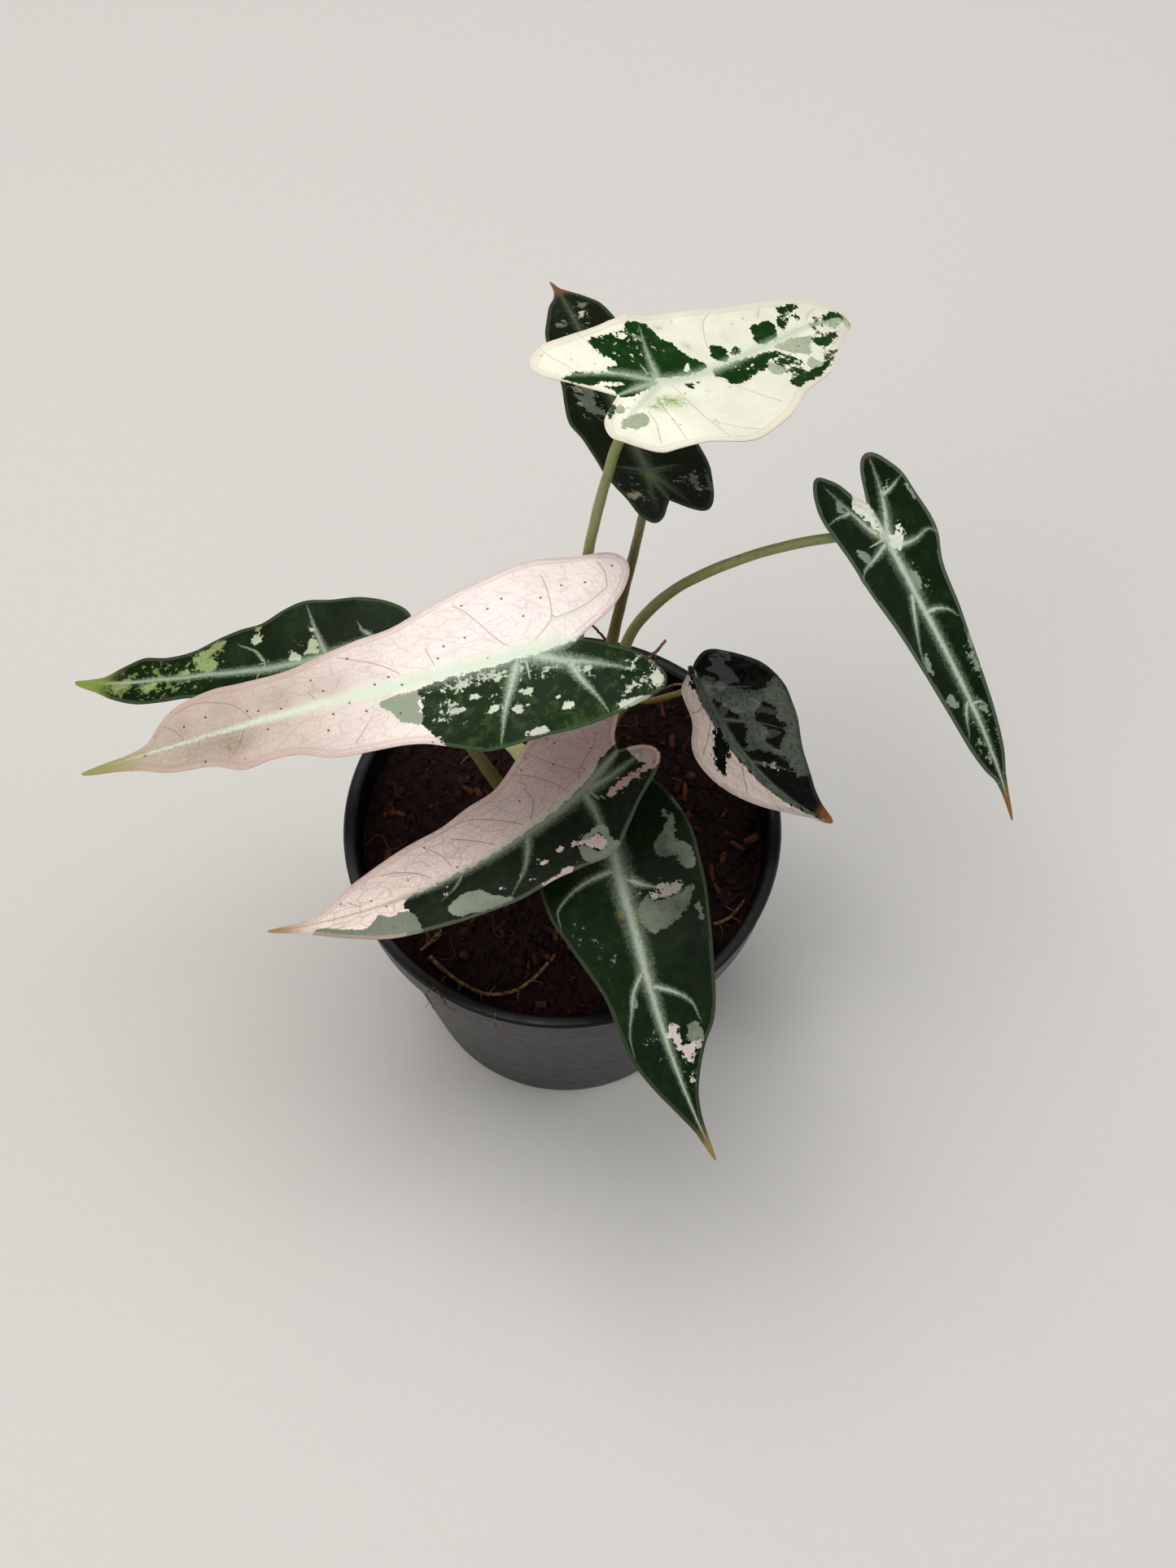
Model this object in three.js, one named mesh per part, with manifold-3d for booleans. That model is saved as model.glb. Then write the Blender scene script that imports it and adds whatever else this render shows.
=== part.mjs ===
import * as THREE from 'three';
import { mergeVertices } from 'three/addons/utils/BufferGeometryUtils.js';
import Module from 'manifold-3d';

const wasm = await Module();
wasm.setup();

// Potted variegated alocasia. Millimetres, +Z up, origin at the middle of the pot's underside.
const RIM_RADIUS = 60;
const POT_HEIGHT = 96;
const BASE_RADIUS = 43;
const WALL = 1.6;
const BAND_HEIGHT = 14;
const BAND_STEP = 1.6;
const LIP_WIDTH = 3.4;
const FLOOR_TOP = 4;
const FOOT_HEIGHT = 1.5;
const DRAIN_RADIUS = 3.5;
const DRAIN_RING = 24;
const DRAINS = 8;
const GAP = 0.3;

const SOIL_LEVEL = 88.5;
const SOIL_LUMP = 1.1;
const CROWN_RADIUS = 13;
const CROWN_FLOOR = 66;
const CROWN_TOP = 92;

const BLADE = 0.8;
const RIDGE = 1.3;
const RIDGE_WIDTH = 1.4;

const PLASTIC = { color: 0x1b1c1e, roughness: 0.45, metalness: 0 };
const SOIL = { color: 0x2a1a13, roughness: 1, metalness: 0 };
const STALK = { color: 0x9a9a5a, roughness: 0.55, metalness: 0 };
const ROOT = { color: 0xa8783f, roughness: 0.9, metalness: 0 };
const DARK_BLADE = { color: 0x23402a, roughness: 0.4, metalness: 0 };
const CREAM_BLADE = { color: 0xf1eeda, roughness: 0.45, metalness: 0 };
const PINK_BLADE = { color: 0xe6cdc4, roughness: 0.45, metalness: 0 };
const SHOOT = { color: 0xcfd08a, roughness: 0.5, metalness: 0 };

const radians = (degrees) => (degrees * Math.PI) / 180;

// Each leaf: umbo (where the stalk meets the blade), length from there to the tip, heading and pitch in
// degrees at umbo, middle and tip, roll at umbo and tip, fold and cup of the left and right half, sinus
// depth, sideways skew of the lobes, edge waves [height, length, start angle] and the outlines. An outline
// is [distance along the midrib, distance from it]: outer runs from lobe end to tip, inner from lobe end
// to sinus.
const LEAVES = {
  cream: {
    finish: CREAM_BLADE, umbo: [21.9, 27.8, 257], length: 69, cup_width: 20,
    heading: [27, 46, 27], pitch: [-26, -22, -40], roll: [-8, 6],
    fold: [0, 0], cup: [2, 2], sinus: 13, skew: 0.27, wave: [[0.5, 24, 0], [0.7, 26, 90]],
    left_outer: [[-29, 15.5], [-26, 19.1], [-22, 20.6], [-16, 20.7], [-7, 21.2], [1, 21.3], [10, 22.8],
      [18, 21.1], [27, 17.6], [35, 14.3], [44, 11.5], [52, 9], [60, 7.5], [65, 4.8], [69, 0]],
    left_inner: [[-29, 15.5], [-27, 11.8], [-24, 9.4], [-21, 7], [-17, 3.6], [-13, 0]],
    right_outer: [[-24, 11], [-22, 13.5], [-19, 15.9], [-13, 19.3], [-9, 20.1], [-2, 22.2], [6, 24.5],
      [15, 22.7], [21, 21.4], [28, 18.3], [36, 16.4], [44, 14.8], [50, 11.2], [59, 7.3], [65, 3.3], [69, 0]],
    right_inner: [[-24, 11], [-23, 7.5], [-21, 5], [-17, 2.4], [-13, 0]],
  },
  rear: {
    finish: DARK_BLADE, umbo: [21.6, 32.4, 214], length: 89, cup_width: 20,
    heading: [106, 108, 104], pitch: [-23, -10, -44], roll: [14, 2],
    fold: [10, 10], cup: [0, 0], sinus: 11, skew: 0.15, wave: [[0.5, 22, 0], [0.5, 24, 60]],
    left_outer: [[-22, 9], [-19, 11.3], [-12, 11.5], [-7, 12], [0, 12.3], [8, 12.7], [15, 13.1], [21, 14.6],
      [28, 13.6], [36, 11.7], [45, 10.9], [54, 10], [62, 7.2], [68, 4.9], [73, 2.4], [80, 0.8], [89, 0]],
    left_inner: [[-22, 9], [-21, 7], [-18, 4.4], [-14, 1.9], [-11, 0]],
    right_outer: [[-18, 5.6], [-16, 8.2], [-9, 11.7], [-4, 13.5], [0, 14.7], [7, 14.9], [21, 14.6],
      [36, 12.3], [45, 11], [56, 9.9], [65, 8.2], [70, 5.6], [75, 2.8], [80, 0.8], [89, 0]],
    right_inner: [[-18, 5.6], [-16.5, 3.4], [-14, 1.7], [-11, 0]],
  },
  hanging: {
    finish: DARK_BLADE, umbo: [78.3, 24.2, 201], length: 81, cup_width: 20,
    heading: [-59, -54, -58], pitch: [-27, -39, -60], roll: [0, 0],
    fold: [5, 5], cup: [0, 0], sinus: 9, skew: 0.05, wave: [[0.4, 20, 30], [0.4, 23, 0]],
    left_outer: [[-20, 6], [-19, 8], [-16, 9.9], [-12, 11.6], [-6, 12.1], [0, 12.5], [5, 12.2], [12, 9.9],
      [23, 8.6], [32, 7.3], [41, 6.1], [51, 4.9], [61, 3.3], [67, 1.7], [73, 0.8], [81, 0]],
    left_inner: [[-20, 6], [-19, 4], [-16, 2.3], [-12, 1], [-9, 0]],
    right_outer: [[-20, 8.4], [-19, 10], [-15, 11.9], [-11, 12.6], [-4, 12], [3, 11.3], [10, 10.7],
      [20, 9.2], [31, 8.2], [43, 7.1], [55, 5.7], [63, 3.7], [68, 1.6], [73, 0.8], [81, 0]],
    right_inner: [[-20, 8.4], [-19, 6.6], [-16, 4], [-12, 2.1], [-9, 0]],
  },
  pink: {
    finish: PINK_BLADE, umbo: [-5.9, -1.5, 192], length: 119, cup_width: 20,
    heading: [192, 189, 182], pitch: [-5, -16, -28], roll: [0, -3],
    fold: [2, 2], cup: [-6, -6], sinus: 11, skew: 0, wave: [[0.9, 30, 0], [0.6, 34, 90]],
    left_outer: [[-29, 15], [-28, 17.6], [-25, 19.3], [-18, 21.2], [-10, 21.9], [0, 22.8], [9, 23.8],
      [16, 23], [23, 20], [30, 17.5], [42, 16.1], [52, 14.6], [60, 11.7], [67, 11.2], [74, 11.6],
      [82, 8.3], [93, 6.9], [102, 3.8], [110, 2], [119, 0]],
    left_inner: [[-29, 15], [-28, 12.6], [-25, 8.5], [-20, 4.6], [-15, 2], [-11, 0]],
    right_outer: [[-27, 17], [-25.5, 21], [-22, 23.3], [-14, 24.4], [-4, 25.2], [7, 23.2], [15, 22],
      [24, 18.5], [33, 15], [43, 14.2], [52, 12.8], [61, 11.2], [72, 11.5], [81, 12.3], [90, 10.8],
      [95, 7.6], [99, 3], [104, 1.4], [111, 0.9], [119, 0]],
    right_inner: [[-27, 17], [-26, 13.3], [-23, 8.7], [-19, 5], [-15, 2.6], [-11, 0]],
  },
  low_back: {
    finish: DARK_BLADE, umbo: [-47.6, 24.1, 152], length: 85, cup_width: 20,
    heading: [187, 182, 164], pitch: [-7, -16, -16], roll: [0, 0],
    fold: [5, 5], cup: [0, 0], sinus: 7, skew: 0, wave: [[0.5, 22, 0], [0.6, 20, 40]],
    left_outer: [[-19, 7], [-17, 10], [-12, 11.5], [-5, 12.5], [5, 14], [14, 14], [23, 13], [33, 11],
      [42, 9], [50, 6.6], [58, 6.7], [65, 6.7], [72, 5], [78, 2.6], [85, 0]],
    left_inner: [[-19, 7], [-17.5, 4.5], [-14, 2.5], [-10, 1], [-7, 0]],
    right_outer: [[-10, 4.5], [-9, 7.4], [-6, 10], [-3, 11.6], [3, 13.4], [10, 14.4], [17, 15.6], [23, 14.3],
      [30, 11.8], [36, 11.3], [43, 9.6], [50, 7.5], [58, 6.7], [65, 7.2], [71, 5], [77, 1.8], [85, 0]],
    right_inner: [[-10, 4.5], [-9.6, 3], [-8.6, 1.2], [-7, 0]],
  },
  low_pink: {
    finish: PINK_BLADE, umbo: [5.4, -11.5, 141], length: 94, cup_width: 20,
    heading: [228, 201, 172], pitch: [5, -14, -29], roll: [2, -1],
    fold: [3, 3], cup: [-4, -4], sinus: 14, skew: 0, wave: [[0.6, 28, 0], [0.7, 24, 60]],
    left_outer: [[-21, 7], [-20, 9.3], [-15, 11.8], [-7, 13.9], [0, 16.6], [8, 19.8], [14, 17.8],
      [21, 15.7], [30, 15.4], [38, 14], [49, 11.9], [60, 10], [69, 6.9], [78, 3.7], [86, 1.5], [94, 0]],
    left_inner: [[-21, 7], [-20.3, 4.6], [-18, 2.3], [-14, 0]],
    right_outer: [[-27, 12], [-25.5, 15.3], [-21, 17.8], [-13, 19.2], [-5, 19.2], [3, 18], [11, 16],
      [20, 13.7], [29, 13.7], [38, 12.8], [47, 12.4], [55, 11.4], [62, 9.8], [70, 6.8], [77, 2.8],
      [84, 1.1], [94, 0]],
    right_inner: [[-27, 12], [-25, 9], [-22, 7], [-19, 5.2], [-16, 3], [-14, 0]],
  },
  front: {
    finish: DARK_BLADE, umbo: [12.8, -16.1, 125], length: 91, cup_width: 20,
    heading: [-78, -74, -58], pitch: [-3, -12, -33], roll: [-12, -6],
    fold: [9, 9], cup: [2, 2], sinus: 8, skew: 0, wave: [[0.5, 26, 0], [0.6, 25, 90]],
    left_outer: [[-15, 9], [-13.5, 12.5], [-9, 16.3], [-3, 19.1], [4, 20.7], [12, 21.1], [20, 21.1],
      [31, 19.5], [41, 17.9], [50, 15.9], [57, 13.2], [62, 9.4], [68, 5.8], [74, 3], [81, 1.4], [91, 0]],
    left_inner: [[-15, 9], [-14, 5.6], [-11, 2.5], [-8, 0]],
    right_outer: [[-15, 8], [-13, 12], [-8, 17], [0, 21], [9, 23], [18, 23.6], [25, 22.6], [30, 19.8],
      [37, 16.2], [44, 13.2], [52, 12.1], [60, 11.1], [68, 8.1], [76, 4.3], [83, 1.6], [91, 0]],
    right_inner: [[-15, 8], [-14, 5], [-11, 2.2], [-8, 0]],
  },
  folded: {
    finish: DARK_BLADE, umbo: [35.6, 26.2, 132], length: 57, cup_width: 14,
    heading: [-63, -42, -6], pitch: [-22, -28, -30], roll: [0, 0],
    fold: [26, 30], cup: [14, 4], sinus: 2, skew: 0, wave: [[0.2, 20, 0], [0.3, 20, 60]],
    left_outer: [[-4.5, 5], [-3.6, 8], [-2, 10.4], [1, 14.4], [5, 18.7], [10, 21.4], [15, 22.1],
      [20, 20.4], [26, 17.8], [34, 13.4], [42, 9.2], [48, 5.5], [53, 2.8], [57, 0]],
    left_inner: [[-4.5, 5], [-4, 3], [-3, 1.2], [-2, 0]],
    right_outer: [[-2.6, 1], [-2, 1.7], [-1, 2.7], [0, 4], [1.2, 6.4], [2.7, 8.2], [6, 9.1], [9.3, 9.8],
      [11.8, 11.8], [15, 16.9], [18.5, 19.6], [22.5, 20], [26, 18.6], [31, 15.3], [37, 11], [43, 6.3],
      [49, 2.9], [53, 1.8], [57, 0]],
    right_inner: [[-2.6, 1], [-2.4, 0.5], [-2.2, 0.2], [-2, 0]],
  },
};

// Leaf stalks: points from the crown to just under the umbo, radius at the foot, middle and top.
const STALKS = {
  cream: { radius: [2.4, 1.4, 1.2], path: [[-1.5, 9, 84], [1, 13, 104], [4, 24, 148], [7, 29, 186],
    [8.4, 28.4, 199], [9.7, 26.4, 212], [11.5, 24.6, 226], [14, 25, 239]] },
  rear: { radius: [2.3, 1.5, 1], path: [[5.5, 8.5, 84], [8, 19, 102], [13, 35, 130], [15.7, 36.5, 152],
    [18.5, 33.5, 180], [20.4, 32.2, 200]] },
  hanging: { radius: [2.3, 1.42, 1.2], path: [[8.6, 0.8, 84], [9.8, 7, 103], [13.4, 20, 128], [17.5, 27, 149],
    [25, 27.7, 166], [34.5, 25.8, 181], [50.5, 25.4, 193], [66.5, 24.7, 200]] },
  pink: { radius: [2.5, 1.7, 1.4], path: [[-1.5, 1, 84], [-4.5, 4.8, 108], [-8.6, 10.6, 140], [-9, 7, 166],
    [-7, 1.5, 184]] },
  low_back: { radius: [2.4, 1.6, 1.25], path: [[-8.4, 3.6, 84], [-12, 5.3, 95], [-17.5, 8, 104],
    [-23, 10.5, 116.5], [-34, 16, 136], [-44, 22, 148]] },
  low_pink: { radius: [2.4, 1.6, 1.25], path: [[0.6, -8.6, 84], [1.6, -4.5, 94], [4.5, 0.5, 105],
    [7.8, 3, 118], [8.4, 0.8, 128], [7.4, -5.5, 136]] },
  front: { radius: [2.3, 1.6, 1.2], path: [[7.8, -6.6, 84], [10.5, -12, 98], [12.6, -15.6, 112],
    [12.9, -16.2, 120]] },
  folded: { radius: [1.6, 1, 0.75], path: [[10, 15, 80], [11.5, 21, 96], [15, 28, 105], [19.5, 30.5, 109.5],
    [24, 28.9, 112.6], [28.5, 27.2, 118], [33.2, 24.9, 126.2]] },
};

const SHOOT_PATH = [[-6.5, 8.6, 84], [-7.2, 9.8, 95], [-8.8, 12.2, 105], [-12.4, 13.8, 113], [-17.5, 14.6, 118.5],
  [-22, 15.4, 121]];
const SHOOT_RADIUS = [2.1, 2.5, 2.5, 0.9];

// Loose roots lying on the soil: points at the root's middle, radius.
const ROOTS = {
  root_front: { radius: 0.8, path: [[-35.6, -37.4, 90.4], [-29.6, -43, 90.2], [-20.6, -48, 90],
    [-12, -47, 90.2], [-6, -42, 90.4], [-2, -36, 88.4]] },
  root_front_branch: { radius: 0.6, path: [[-33, -29, 88.6], [-35.4, -33, 90.2], [-38, -36, 91.4]] },
  root_right: { radius: 0.5, path: [[41, -27, 88.6], [45, -26, 90], [49.5, -21, 90.4]] },
  root_back_rim: { radius: 0.6, path: [[14, 44, 91], [18, 48, 93.6], [22, 50, 96.4], [25.6, 52.6, 97.6],
    [28.6, 56.6, 97.2], [29, 59, 94]] },
};

const LOBE_ROWS = 5;
const BLADE_ROWS = 19;
const COLUMNS = [0, 0.08, 0.3, 0.58, 0.82, 1];

function quadratic([start, middle, end], t) {
  return start * (1 - t) * (1 - 2 * t) + 4 * middle * t * (1 - t) + end * t * (2 * t - 1);
}

// Smooth curve through [x, y] points, x rising; the x scale is bent so that the ends stay round.
function smooth(points, x, bend) {
  const xs = points.map((point) => bend(point[0]));
  const target = bend(x);
  let k = 0;
  while (k < points.length - 2 && target > xs[k + 1]) k += 1;
  const slope = (i) => {
    const a = Math.max(i - 1, 0);
    const b = Math.min(i + 1, points.length - 1);
    return (points[b][1] - points[a][1]) / (xs[b] - xs[a]);
  };
  const span = xs[k + 1] - xs[k];
  const t = Math.min(Math.max((target - xs[k]) / span, 0), 1);
  const t2 = t * t;
  const t3 = t2 * t;
  return (2 * t3 - 3 * t2 + 1) * points[k][1] + (t3 - 2 * t2 + t) * span * slope(k)
    + (3 * t2 - 2 * t3) * points[k + 1][1] + (t3 - t2) * span * slope(k + 1);
}

function outerMargin(points, u) {
  const low = points[0][0];
  const high = points[points.length - 1][0];
  const bend = (x) => Math.acos(1 - 2 * Math.min(Math.max((x - low) / (high - low), 0), 1));
  return Math.max(smooth(points, u, bend), 0);
}

function innerMargin(points, u) {
  const low = points[0][0];
  const high = points[points.length - 1][0];
  const bend = (x) => Math.acos(1 - Math.min(Math.max((x - low) / (high - low), 0), 1));
  return Math.max(smooth(points, u, bend), 0);
}

// Unit vectors of a leaf at distance u along its midrib: forward, left and up from the blade.
function frameAt(leaf, u) {
  const t = Math.min(Math.max(u / leaf.length, 0), 1.2);
  const pitch = radians(quadratic(leaf.pitch, t));
  const heading = radians(quadratic(leaf.heading, t));
  const roll = radians(leaf.roll[0] + (leaf.roll[1] - leaf.roll[0]) * t);
  const forward = new THREE.Vector3(
    Math.cos(pitch) * Math.cos(heading), Math.cos(pitch) * Math.sin(heading), Math.sin(pitch));
  const level = new THREE.Vector3(-Math.sin(heading), Math.cos(heading), 0);
  const raised = new THREE.Vector3().crossVectors(forward, level);
  const left = level.clone().multiplyScalar(Math.cos(roll)).addScaledVector(raised, Math.sin(roll));
  const up = raised.clone().multiplyScalar(Math.cos(roll)).addScaledVector(level, -Math.sin(roll));
  return { forward, left, up };
}

// Point on the midrib, found by walking along it from the umbo.
function midribPoint(leaf, u) {
  const steps = 40;
  const point = new THREE.Vector3(...leaf.umbo);
  for (let i = 0; i < steps; i += 1) {
    point.addScaledVector(frameAt(leaf, (u * (i + 0.5)) / steps).forward, u / steps);
  }
  return point;
}

// Point on the middle surface of a blade; v is the distance to the left of the midrib.
function bladePoint(leaf, u, v) {
  const { left, up } = frameAt(leaf, u);
  const side = v >= 0 ? 0 : 1;
  const reach = Math.abs(v) / leaf.cup_width;
  const rise = radians(leaf.fold[side] + leaf.cup[side] * reach);
  const [height, length, start] = leaf.wave[side];
  const wave = height * Math.sin((2 * Math.PI * u) / length + radians(start)) * reach * reach;
  return midribPoint(leaf, u)
    .addScaledVector(left, v * Math.cos(rise))
    .addScaledVector(up, Math.abs(v) * Math.sin(rise) + wave);
}

function bladeNormal(leaf, u, v) {
  const step = 0.4;
  const along = bladePoint(leaf, u + step, v).sub(bladePoint(leaf, u - step, v));
  const across = bladePoint(leaf, u, v + step).sub(bladePoint(leaf, u, v - step));
  return along.cross(across).normalize();
}

// Rows of [u, v] from the sinus to the tip, and from the sinus back to the lobe end, for one half.
function halfRows(leaf, sign) {
  const outer = sign > 0 ? leaf.left_outer : leaf.right_outer;
  const inner = sign > 0 ? leaf.left_inner : leaf.right_inner;
  const lobeEnd = outer[0][0];
  const shift = (u) => (u < 0 ? leaf.skew * u : 0);
  const row = (u, from, to) => COLUMNS.map((f) => [u, sign * (from + (to - from) * f) + shift(u)]);
  const rows = [];
  for (let i = LOBE_ROWS; i >= 1; i -= 1) {
    const u = lobeEnd + (-leaf.sinus - lobeEnd) * (1 - Math.sin((Math.PI / 2) * (i / LOBE_ROWS)));
    rows.push(row(u, innerMargin(inner, u), outerMargin(outer, u)));
  }
  for (let i = 0; i <= BLADE_ROWS; i += 1) {
    const u = -leaf.sinus + (leaf.length + leaf.sinus) * Math.sin((Math.PI / 2) * (i / BLADE_ROWS) ** 0.8);
    rows.push(row(u, 0, outerMargin(outer, u)));
  }
  return rows;
}

// Triangles over both halves as index triples into a list of [u, v] points.
function bladeNet(leaf) {
  const points = [];
  const faces = [];
  const index = new Map();
  const place = (point) => {
    const key = `${point[0].toFixed(3)},${point[1].toFixed(3)}`;
    if (!index.has(key)) {
      index.set(key, points.length);
      points.push(point);
    }
    return index.get(key);
  };
  for (const sign of [1, -1]) {
    const rows = halfRows(leaf, sign);
    for (let i = 0; i + 1 < rows.length; i += 1) {
      for (let j = 0; j + 1 < COLUMNS.length; j += 1) {
        const a = place(rows[i][j]);
        const b = place(rows[i + 1][j]);
        const c = place(rows[i + 1][j + 1]);
        const d = place(rows[i][j + 1]);
        const split = sign > 0 ? [[a, b, c], [a, c, d]] : [[a, c, b], [a, d, c]];
        faces.push(...split.filter(([p, q, r]) => p !== q && q !== r && p !== r));
      }
    }
  }
  return { points, faces };
}

function closedBody(positions, triangles) {
  return new wasm.Manifold(new wasm.Mesh({
    numProp: 3, vertProperties: new Float32Array(positions), triVerts: new Uint32Array(triangles),
  }));
}

// A blade as a closed body, with the given thickness above and below its middle surface.
function bladeBody(leaf, above, below) {
  const { points, faces } = bladeNet(leaf);
  const count = points.length;
  const upper = [];
  const lower = [];
  for (const [u, v] of points) {
    const normal = bladeNormal(leaf, u, v);
    const middle = bladePoint(leaf, u, v);
    const fade = Math.min(Math.max(1 - u / leaf.length, 0), 1) ** 0.6 * (u < 0 ? Math.exp(u / 6) : 1);
    const rib = RIDGE * fade * Math.exp(-((v / RIDGE_WIDTH) ** 2));
    upper.push(...middle.clone().addScaledVector(normal, above).toArray());
    lower.push(...middle.clone().addScaledVector(normal, -below - rib).toArray());
  }
  const triangles = [];
  const edges = new Map();
  for (const [a, b, c] of faces) {
    triangles.push(a, b, c, count + a, count + c, count + b);
    for (const [p, q] of [[a, b], [b, c], [c, a]]) {
      const back = `${q},${p}`;
      if (edges.has(back)) edges.delete(back);
      else edges.set(`${p},${q}`, [p, q]);
    }
  }
  for (const [p, q] of edges.values()) {
    triangles.push(q, p, count + p, q, count + p, count + q);
  }
  return closedBody([...upper, ...lower], triangles);
}

// A round tapered body along a smooth path; radii are spread evenly from start to end.
function tubeBody(path, radii, sides, rings) {
  const curve = new THREE.CatmullRomCurve3(path.map((point) => new THREE.Vector3(...point)));
  const frames = curve.computeFrenetFrames(rings, false);
  const positions = [];
  const triangles = [];
  for (let i = 0; i <= rings; i += 1) {
    const centre = curve.getPointAt(i / rings);
    const along = (i / rings) * (radii.length - 1);
    const k = Math.min(Math.floor(along), radii.length - 2);
    const radius = radii[k] + (radii[k + 1] - radii[k]) * (along - k);
    for (let j = 0; j < sides; j += 1) {
      const angle = (2 * Math.PI * j) / sides;
      positions.push(...centre.clone()
        .addScaledVector(frames.normals[i], radius * Math.cos(angle))
        .addScaledVector(frames.binormals[i], radius * Math.sin(angle)).toArray());
    }
  }
  const first = positions.length / 3;
  positions.push(...curve.getPointAt(0).toArray(), ...curve.getPointAt(1).toArray());
  for (let j = 0; j < sides; j += 1) {
    const next = (j + 1) % sides;
    for (let i = 0; i < rings; i += 1) {
      const a = i * sides + j;
      const b = i * sides + next;
      triangles.push(a, b, b + sides, a, b + sides, a + sides);
    }
    triangles.push(first, next, j);
    triangles.push(first + 1, rings * sides + j, rings * sides + next);
  }
  return closedBody(positions, triangles);
}

function bodyOf(geometry) {
  geometry.deleteAttribute('normal');
  geometry.deleteAttribute('uv');
  const merged = mergeVertices(geometry, 1e-4);
  return closedBody(merged.attributes.position.array, merged.index.array);
}

function latheBody(profile, segments) {
  const geometry = new THREE.LatheGeometry(profile.map(([r, z]) => new THREE.Vector2(r, z)), segments);
  geometry.rotateX(Math.PI / 2);
  return bodyOf(geometry);
}

// Inner radius of the pot at a height.
function potInside(z) {
  const t = (z - FLOOR_TOP) / (POT_HEIGHT - FLOOR_TOP);
  return BASE_RADIUS - WALL + (RIM_RADIUS - LIP_WIDTH - BASE_RADIUS + WALL) * t;
}

// Thin pot wall with a broad stepped band and flat lip at the rim; the drain holes sit in a ring-shaped
// recess of the underside.
function potBody() {
  const bandBottom = POT_HEIGHT - BAND_HEIGHT;
  const outside = (z) => potInside(z) + WALL;
  const profile = [
    [0, 0], [14, 0], [15, FOOT_HEIGHT], [BASE_RADIUS - 10, FOOT_HEIGHT], [BASE_RADIUS - 9, 0],
    [BASE_RADIUS - 2.4, 0],
    [BASE_RADIUS - 0.6, 0.8], [outside(4), 4], [outside(30), 30], [outside(bandBottom - 3), bandBottom - 3],
    [outside(bandBottom) + 0.2, bandBottom - 0.6], [RIM_RADIUS - BAND_STEP - 0.6, bandBottom],
    [RIM_RADIUS - BAND_STEP, bandBottom + 0.8], [RIM_RADIUS - 0.9, POT_HEIGHT - 2.8],
    [RIM_RADIUS - 0.2, POT_HEIGHT - 1.8], [RIM_RADIUS, POT_HEIGHT - 0.9], [RIM_RADIUS - 0.6, POT_HEIGHT],
    [RIM_RADIUS - LIP_WIDTH + 0.7, POT_HEIGHT], [potInside(POT_HEIGHT) - 0.1, POT_HEIGHT - 0.8],
    [potInside(60), 60], [potInside(FLOOR_TOP + 1.5), FLOOR_TOP + 1.5],
    [potInside(FLOOR_TOP) - 1.5, FLOOR_TOP], [0, FLOOR_TOP],
  ];
  let body = latheBody(profile, 52);
  for (let i = 0; i < DRAINS; i += 1) {
    const angle = (2 * Math.PI * (i + 0.5)) / DRAINS;
    const drain = new THREE.CylinderGeometry(DRAIN_RADIUS, DRAIN_RADIUS, 12, 12);
    drain.rotateX(Math.PI / 2);
    drain.translate(DRAIN_RING * Math.cos(angle), DRAIN_RING * Math.sin(angle), 2);
    body = body.subtract(bodyOf(drain));
  }
  return body;
}

// Height of the soil: heaped at the back, gently lumpy all over.
function soilHeight(x, y) {
  const heap = 3.6 * Math.exp(-(((x - 10) / 34) ** 2) - (((y - 50) / 18) ** 2));
  const crownHeap = 1.6 * Math.exp(-((x * x + y * y) / 500));
  const lumps = Math.sin(x * 0.42 + 1.3 * Math.sin(y * 0.23)) * Math.cos(y * 0.38 + 0.9 * Math.sin(x * 0.31))
    + 0.6 * Math.sin(x * 0.93 + 2) * Math.sin(y * 0.87 + 1);
  return SOIL_LEVEL + heap + crownHeap + SOIL_LUMP * 0.6 * lumps;
}

function seededDraws(seed) {
  let state = seed;
  return () => {
    state = (state * 16807) % 2147483647;
    return state / 2147483647;
  };
}

// One coir chip: a small bar with slanted ends, sunk into the surface.
function chipBody(draw) {
  const angle = 2 * Math.PI * draw();
  const reach = 15 + 38 * Math.sqrt(draw());
  const x = reach * Math.cos(angle);
  const y = reach * Math.sin(angle);
  const chip = new THREE.BoxGeometry(2 + 3.4 * draw(), 1 + 1.2 * draw(), 2.4);
  chip.rotateX(0.5 * (draw() - 0.5));
  chip.rotateY(0.9 * (draw() - 0.5));
  chip.rotateZ(Math.PI * draw());
  chip.translate(x, y, soilHeight(x, y) - 0.4);
  return bodyOf(chip);
}

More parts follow.
